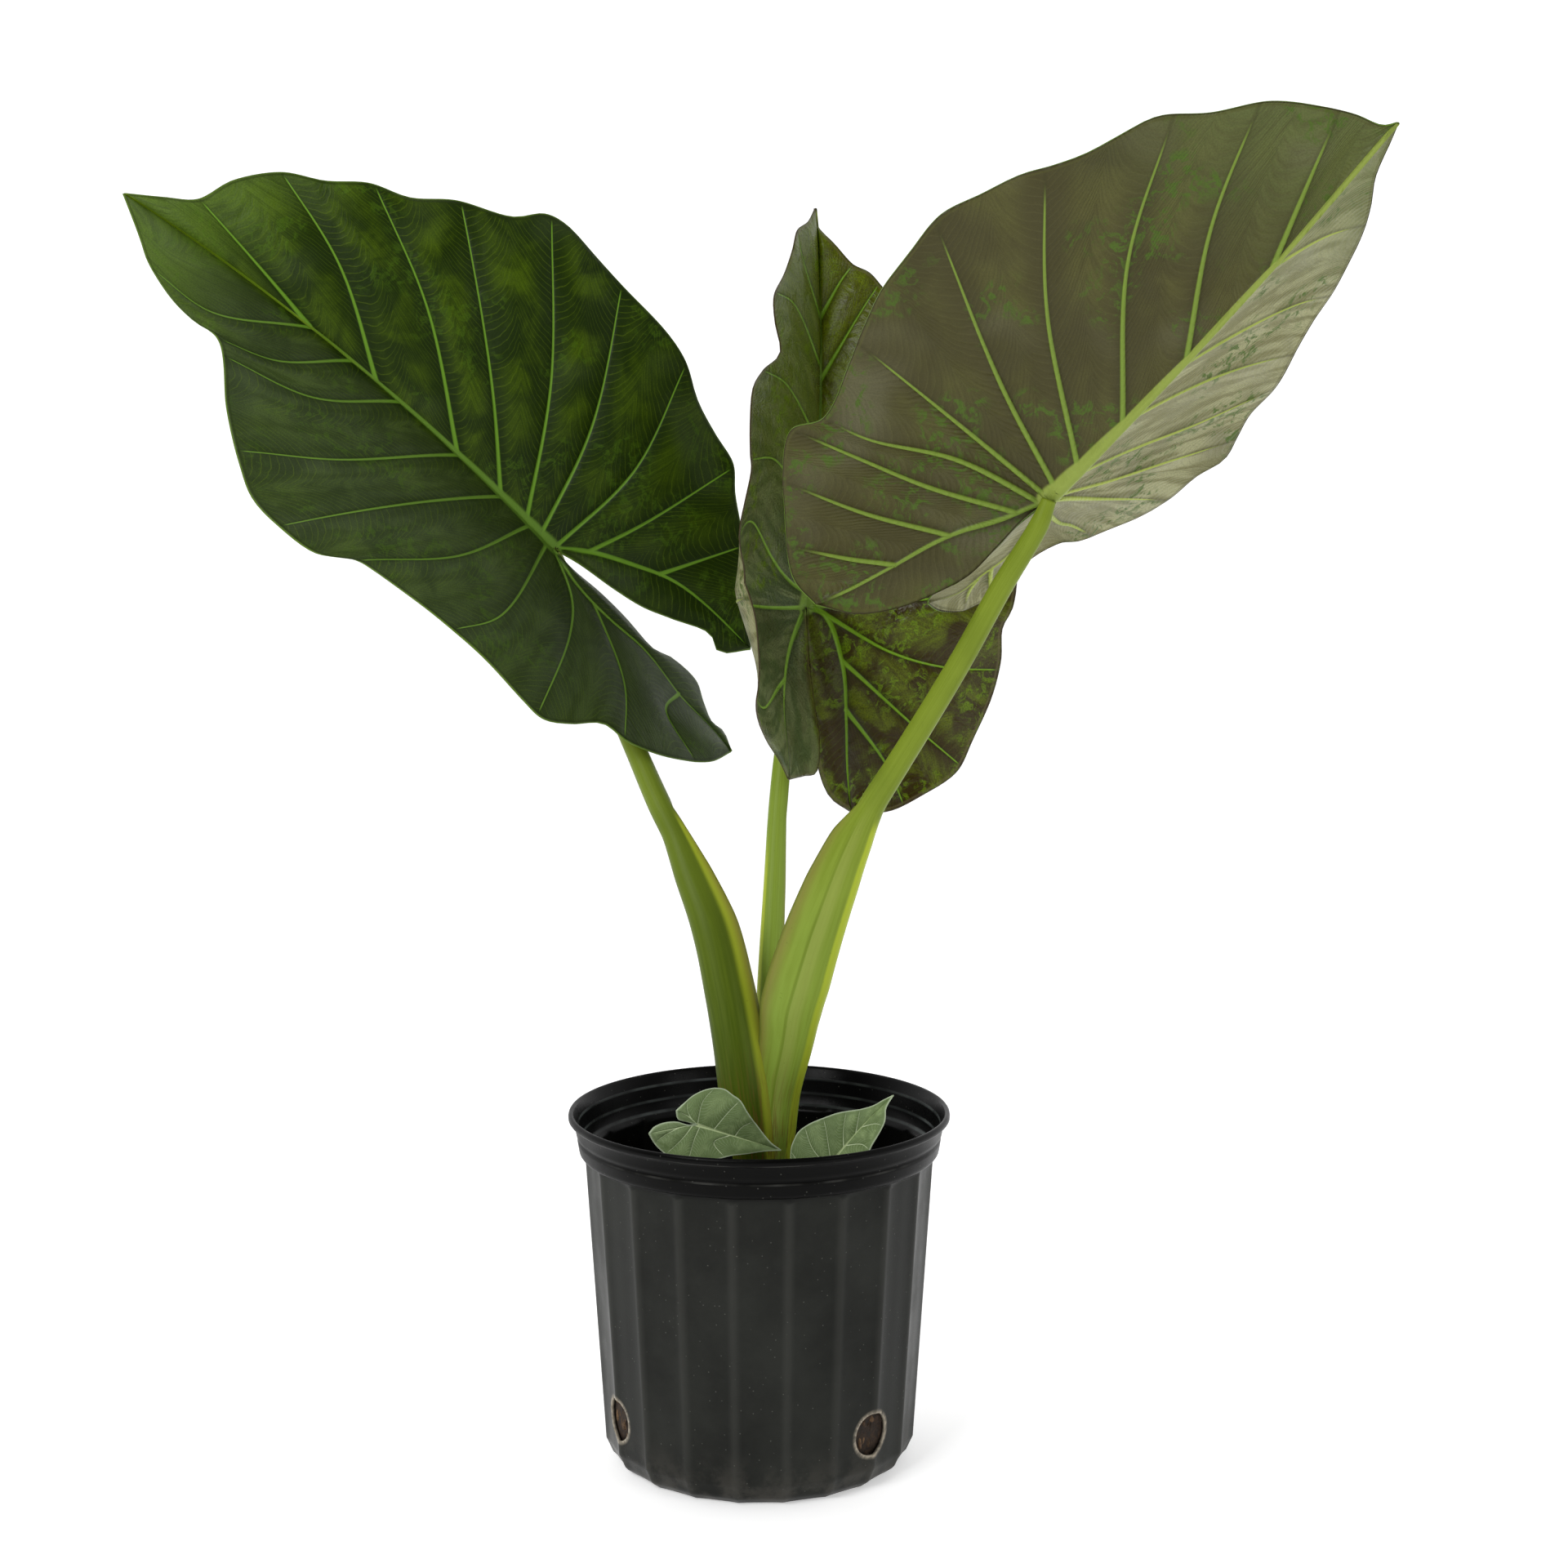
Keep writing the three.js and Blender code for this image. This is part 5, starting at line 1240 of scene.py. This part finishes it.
def pot_paint(name):
    """Black plastic, dusty and scratched on the wall, with pale worn edges round the holes, painted
    highlight on the ridges and along the steps, and painted shade inside.
    """
    p = Paint(name, POT_BLACK)
    place = p.object_place()
    inside = p.value("inside")
    up = p.node("ShaderNodeSeparateXYZ", place).outputs[2]
    dust = p.noise(place, 14.0, 5.0, 0.6)
    p.lay(POT_DUSTY, p.ramp(up, 0.213, 0.209), p.ramp(dust, 0.3, 0.7, 0.5, 1.0))
    # Painted highlight along the flute ridges
    p.lay(POT_RIDGE_HIGHLIGHT, p.ramp(p.value("ridge"), 0.7, 1.0), 0.3)
    # Paler patches towards the foot
    pale_foot = p.ramp(p.noise(place, 40.0, 5.0, 0.65), 0.4, 0.62)
    p.lay(POT_PALE_FOOT, p.ramp(up, 0.045, 0.0, 0.0, 0.35), pale_foot)
    scratch = p.noise(p.place(p.product(p.value("turn"), 6.0), p.product(up, 9.0)), 24.0, 6.0, 0.7, 1.5)
    p.lay(POT_SCRATCH, p.ramp(scratch, 0.70, 0.76, 0.0, 0.45))
    patchy = p.ramp(p.noise(place, 260.0, 4.0), 0.3, 0.6, 0.45, 1.0)
    p.lay(POT_WORN, p.ramp(p.value("wear"), 0.45, 0.9), patchy)
    # Painted shade darkening the inside of the pot
    p.lay(POT_INSIDE_SHADE, inside, 0.9)
    # Thin lines of painted highlight along the steps inside
    for step in INNER_STEPS:
        patchy = p.ramp(p.noise(place, 30.0, 3.0), 0.35, 0.7, 0.2, 0.9)
        p.lay(POT_STEP_GLINT, p.near(up, step, 0.0013, 0.0004), inside, patchy)
    p.lay(POT_SPECK, p.ramp(p.cells(place, 190.0), 0.11, 0.04, 0.0, 0.5))
    # Thin lines of painted highlight along the steps of the lip outside
    outside = p.ramp(inside, 0.6, 0.4)
    for edge in OUTER_STEPS:
        patchy = p.ramp(p.noise(place, 40.0, 3.0), 0.4, 0.7, 0.1, 0.7)
        p.lay(POT_EDGE_GLINT, p.near(up, edge, 0.0009, 0.0003), outside, patchy)
    rough = p.math("SUBTRACT", p.ramp(dust, 0.35, 0.7, 0.3, 0.46), p.product(inside, 0.06))
    relief = p.math("ADD", p.product(p.noise(place, 900.0, 2.0), 0.4), p.product(scratch, 0.5))
    return p.finish(rough, 0.07, relief, 0.12, 0.0006)


def soil_paint(name):
    """Dark crumbs, and bark chips whose colour follows their shade value."""
    p = Paint(name, (0.014, 0.009, 0.006))
    place = p.object_place()
    grain = p.noise(place, 160.0, 5.0, 0.65, 0.8)
    p.lay((0.05, 0.030, 0.018), p.ramp(grain, 0.35, 0.7))
    chip = p.mix(p.ramp(grain, 0.3, 0.7), (0.055, 0.028, 0.014), (0.20, 0.12, 0.06))
    p.lay(chip, p.ramp(p.value("shade"), 0.05, 0.9))
    rough = p.ramp(grain, 0.3, 0.7, 0.75, 0.95)
    return p.finish(rough, 0.3, p.noise(place, 420.0, 5.0, 0.7), 0.6, 0.0015)


def corm_paint(name):
    """Fibrous brown skin."""
    p = Paint(name, (0.075, 0.045, 0.018))
    place = p.object_place()
    rings = p.noise(place, 70.0, 4.0, 0.6, 1.0)
    p.lay((0.19, 0.13, 0.06), p.ramp(rings, 0.35, 0.7))
    rough = p.ramp(rings, 0.3, 0.7, 0.6, 0.85)
    return p.finish(rough, 0.35, p.noise(place, 240.0, 5.0, 0.6), 0.5, 0.0012)


def floor_paint(name):
    p = Paint(name, (0.9, 0.9, 0.9))
    p.shader.inputs["Emission Color"].default_value = (1, 1, 1, 1)
    p.shader.inputs["Emission Strength"].default_value = FLOOR_GLOW
    return p.finish(0.9, 0.1)


# Camera, light and floor


def place_object(name, data):
    thing = bpy.data.objects.new(name, data)
    bpy.context.scene.collection.objects.link(thing)
    return thing


def add_camera():
    lens = bpy.data.cameras.new("camera")
    lens.lens = FOCAL
    lens.sensor_width = 36
    lens.clip_start = 0.05
    lens.clip_end = 60
    camera = place_object("camera", lens)
    camera.location = [c * MM for c in EYE]
    camera.rotation_euler = (np.radians(90 - CAMERA_DOWN), 0, 0)
    bpy.context.scene.camera = camera


def add_lamp(name, place, wide, watts):
    """A square soft light, turned to LAMP_AIM."""
    light = bpy.data.lights.new(name, "AREA")
    light.shape = "RECTANGLE"
    light.size = wide
    light.size_y = wide
    light.energy = watts
    lamp = place_object(name, light)
    lamp.location = place
    way = np.array(LAMP_AIM) - np.array(place)
    level = np.hypot(way[0], way[1])
    lamp.rotation_euler = (np.arctan2(level, -way[2]), 0, np.arctan2(way[1], way[0]) - np.pi / 2)


def add_world():
    """White behind and at the sides of the plant, and a dim room in front of it."""
    world = bpy.data.worlds.new("studio")
    world.use_nodes = True
    nodes = world.node_tree.nodes
    links = world.node_tree.links
    split = nodes.new("ShaderNodeSeparateXYZ")
    links.new(nodes.new("ShaderNodeTexCoord").outputs["Generated"], split.inputs[0])
    ramp = nodes.new("ShaderNodeMapRange")
    ramp.interpolation_type = "SMOOTHSTEP"
    for socket, part in zip(ramp.inputs, (0.0, -0.45, 0.35, DIM_ROOM, WHITE_ROOM)):
        socket.default_value = part
    links.new(split.outputs[1], ramp.inputs[0])
    links.new(ramp.outputs[0], nodes["Background"].inputs[1])
    nodes["Background"].inputs[0].default_value = (1, 1, 1, 1)
    bpy.context.scene.world = world
    bpy.context.scene.view_settings.view_transform = "Standard"


def add_floor():
    mesh = bpy.data.meshes.new("floor")
    corners = [(x * FLOOR_REACH, y * FLOOR_REACH, 0) for x, y in ((-1, -1), (1, -1), (1, 1), (-1, 1))]
    mesh.from_pydata(corners, [], [(0, 1, 2, 3)])
    mesh.materials.append(floor_paint("floor_white"))
    floor = place_object("floor", mesh)


add_camera()
add_world()
for lamp_name, lamp in LAMPS.items():
    add_lamp(lamp_name, **lamp)
add_floor()

leaf_upper = leaf_paint("leaf_upper", UPPER)
middle_upper = leaf_paint("middle_upper", MIDDLE)
leaf_under = leaf_paint("leaf_under", UNDER)
pup_upper = leaf_paint("pup_upper", PUP_UPPER)
pup_under = leaf_paint("pup_under", PUP_UNDER)
sides = dict(
    left=(leaf_upper, leaf_under, "leaf"), middle=(middle_upper, leaf_under, "leaf"),
    right=(leaf_upper, leaf_under, "bronze"), pup_left=(pup_upper, pup_under, "pup"),
    pup_right=(pup_upper, pup_under, "pup"),
)
for blade_name, blade in BLADES.items():
    upper, under, slot = sides[blade_name]
    piece = make_blade(f"leaf_{blade_name}", blade, upper, under)
    stand_for(piece, f"blade_{blade_name}")

petiole = stem_paint("petiole", PALE_STEM)
petiole_shaded = stem_paint("petiole_shaded", SHADED_STEM)
for stem_name, stem in STEMS.items():
    small = stem_name.startswith("pup")
    paint = petiole_shaded if stem_name == "left" else petiole
    piece = make_stem(f"petiole_{stem_name}", stem, paint, 60 if small else 220, 0.4 if small else 1.5)
    stand_for(piece, f"stem_{stem_name}")

stand_for(make_pot(pot_paint("black_plastic")), "pot")
stand_for(make_soil(soil_paint("bark")), "soil")
stand_for(make_corm(corm_paint("corm_skin")), "corm")
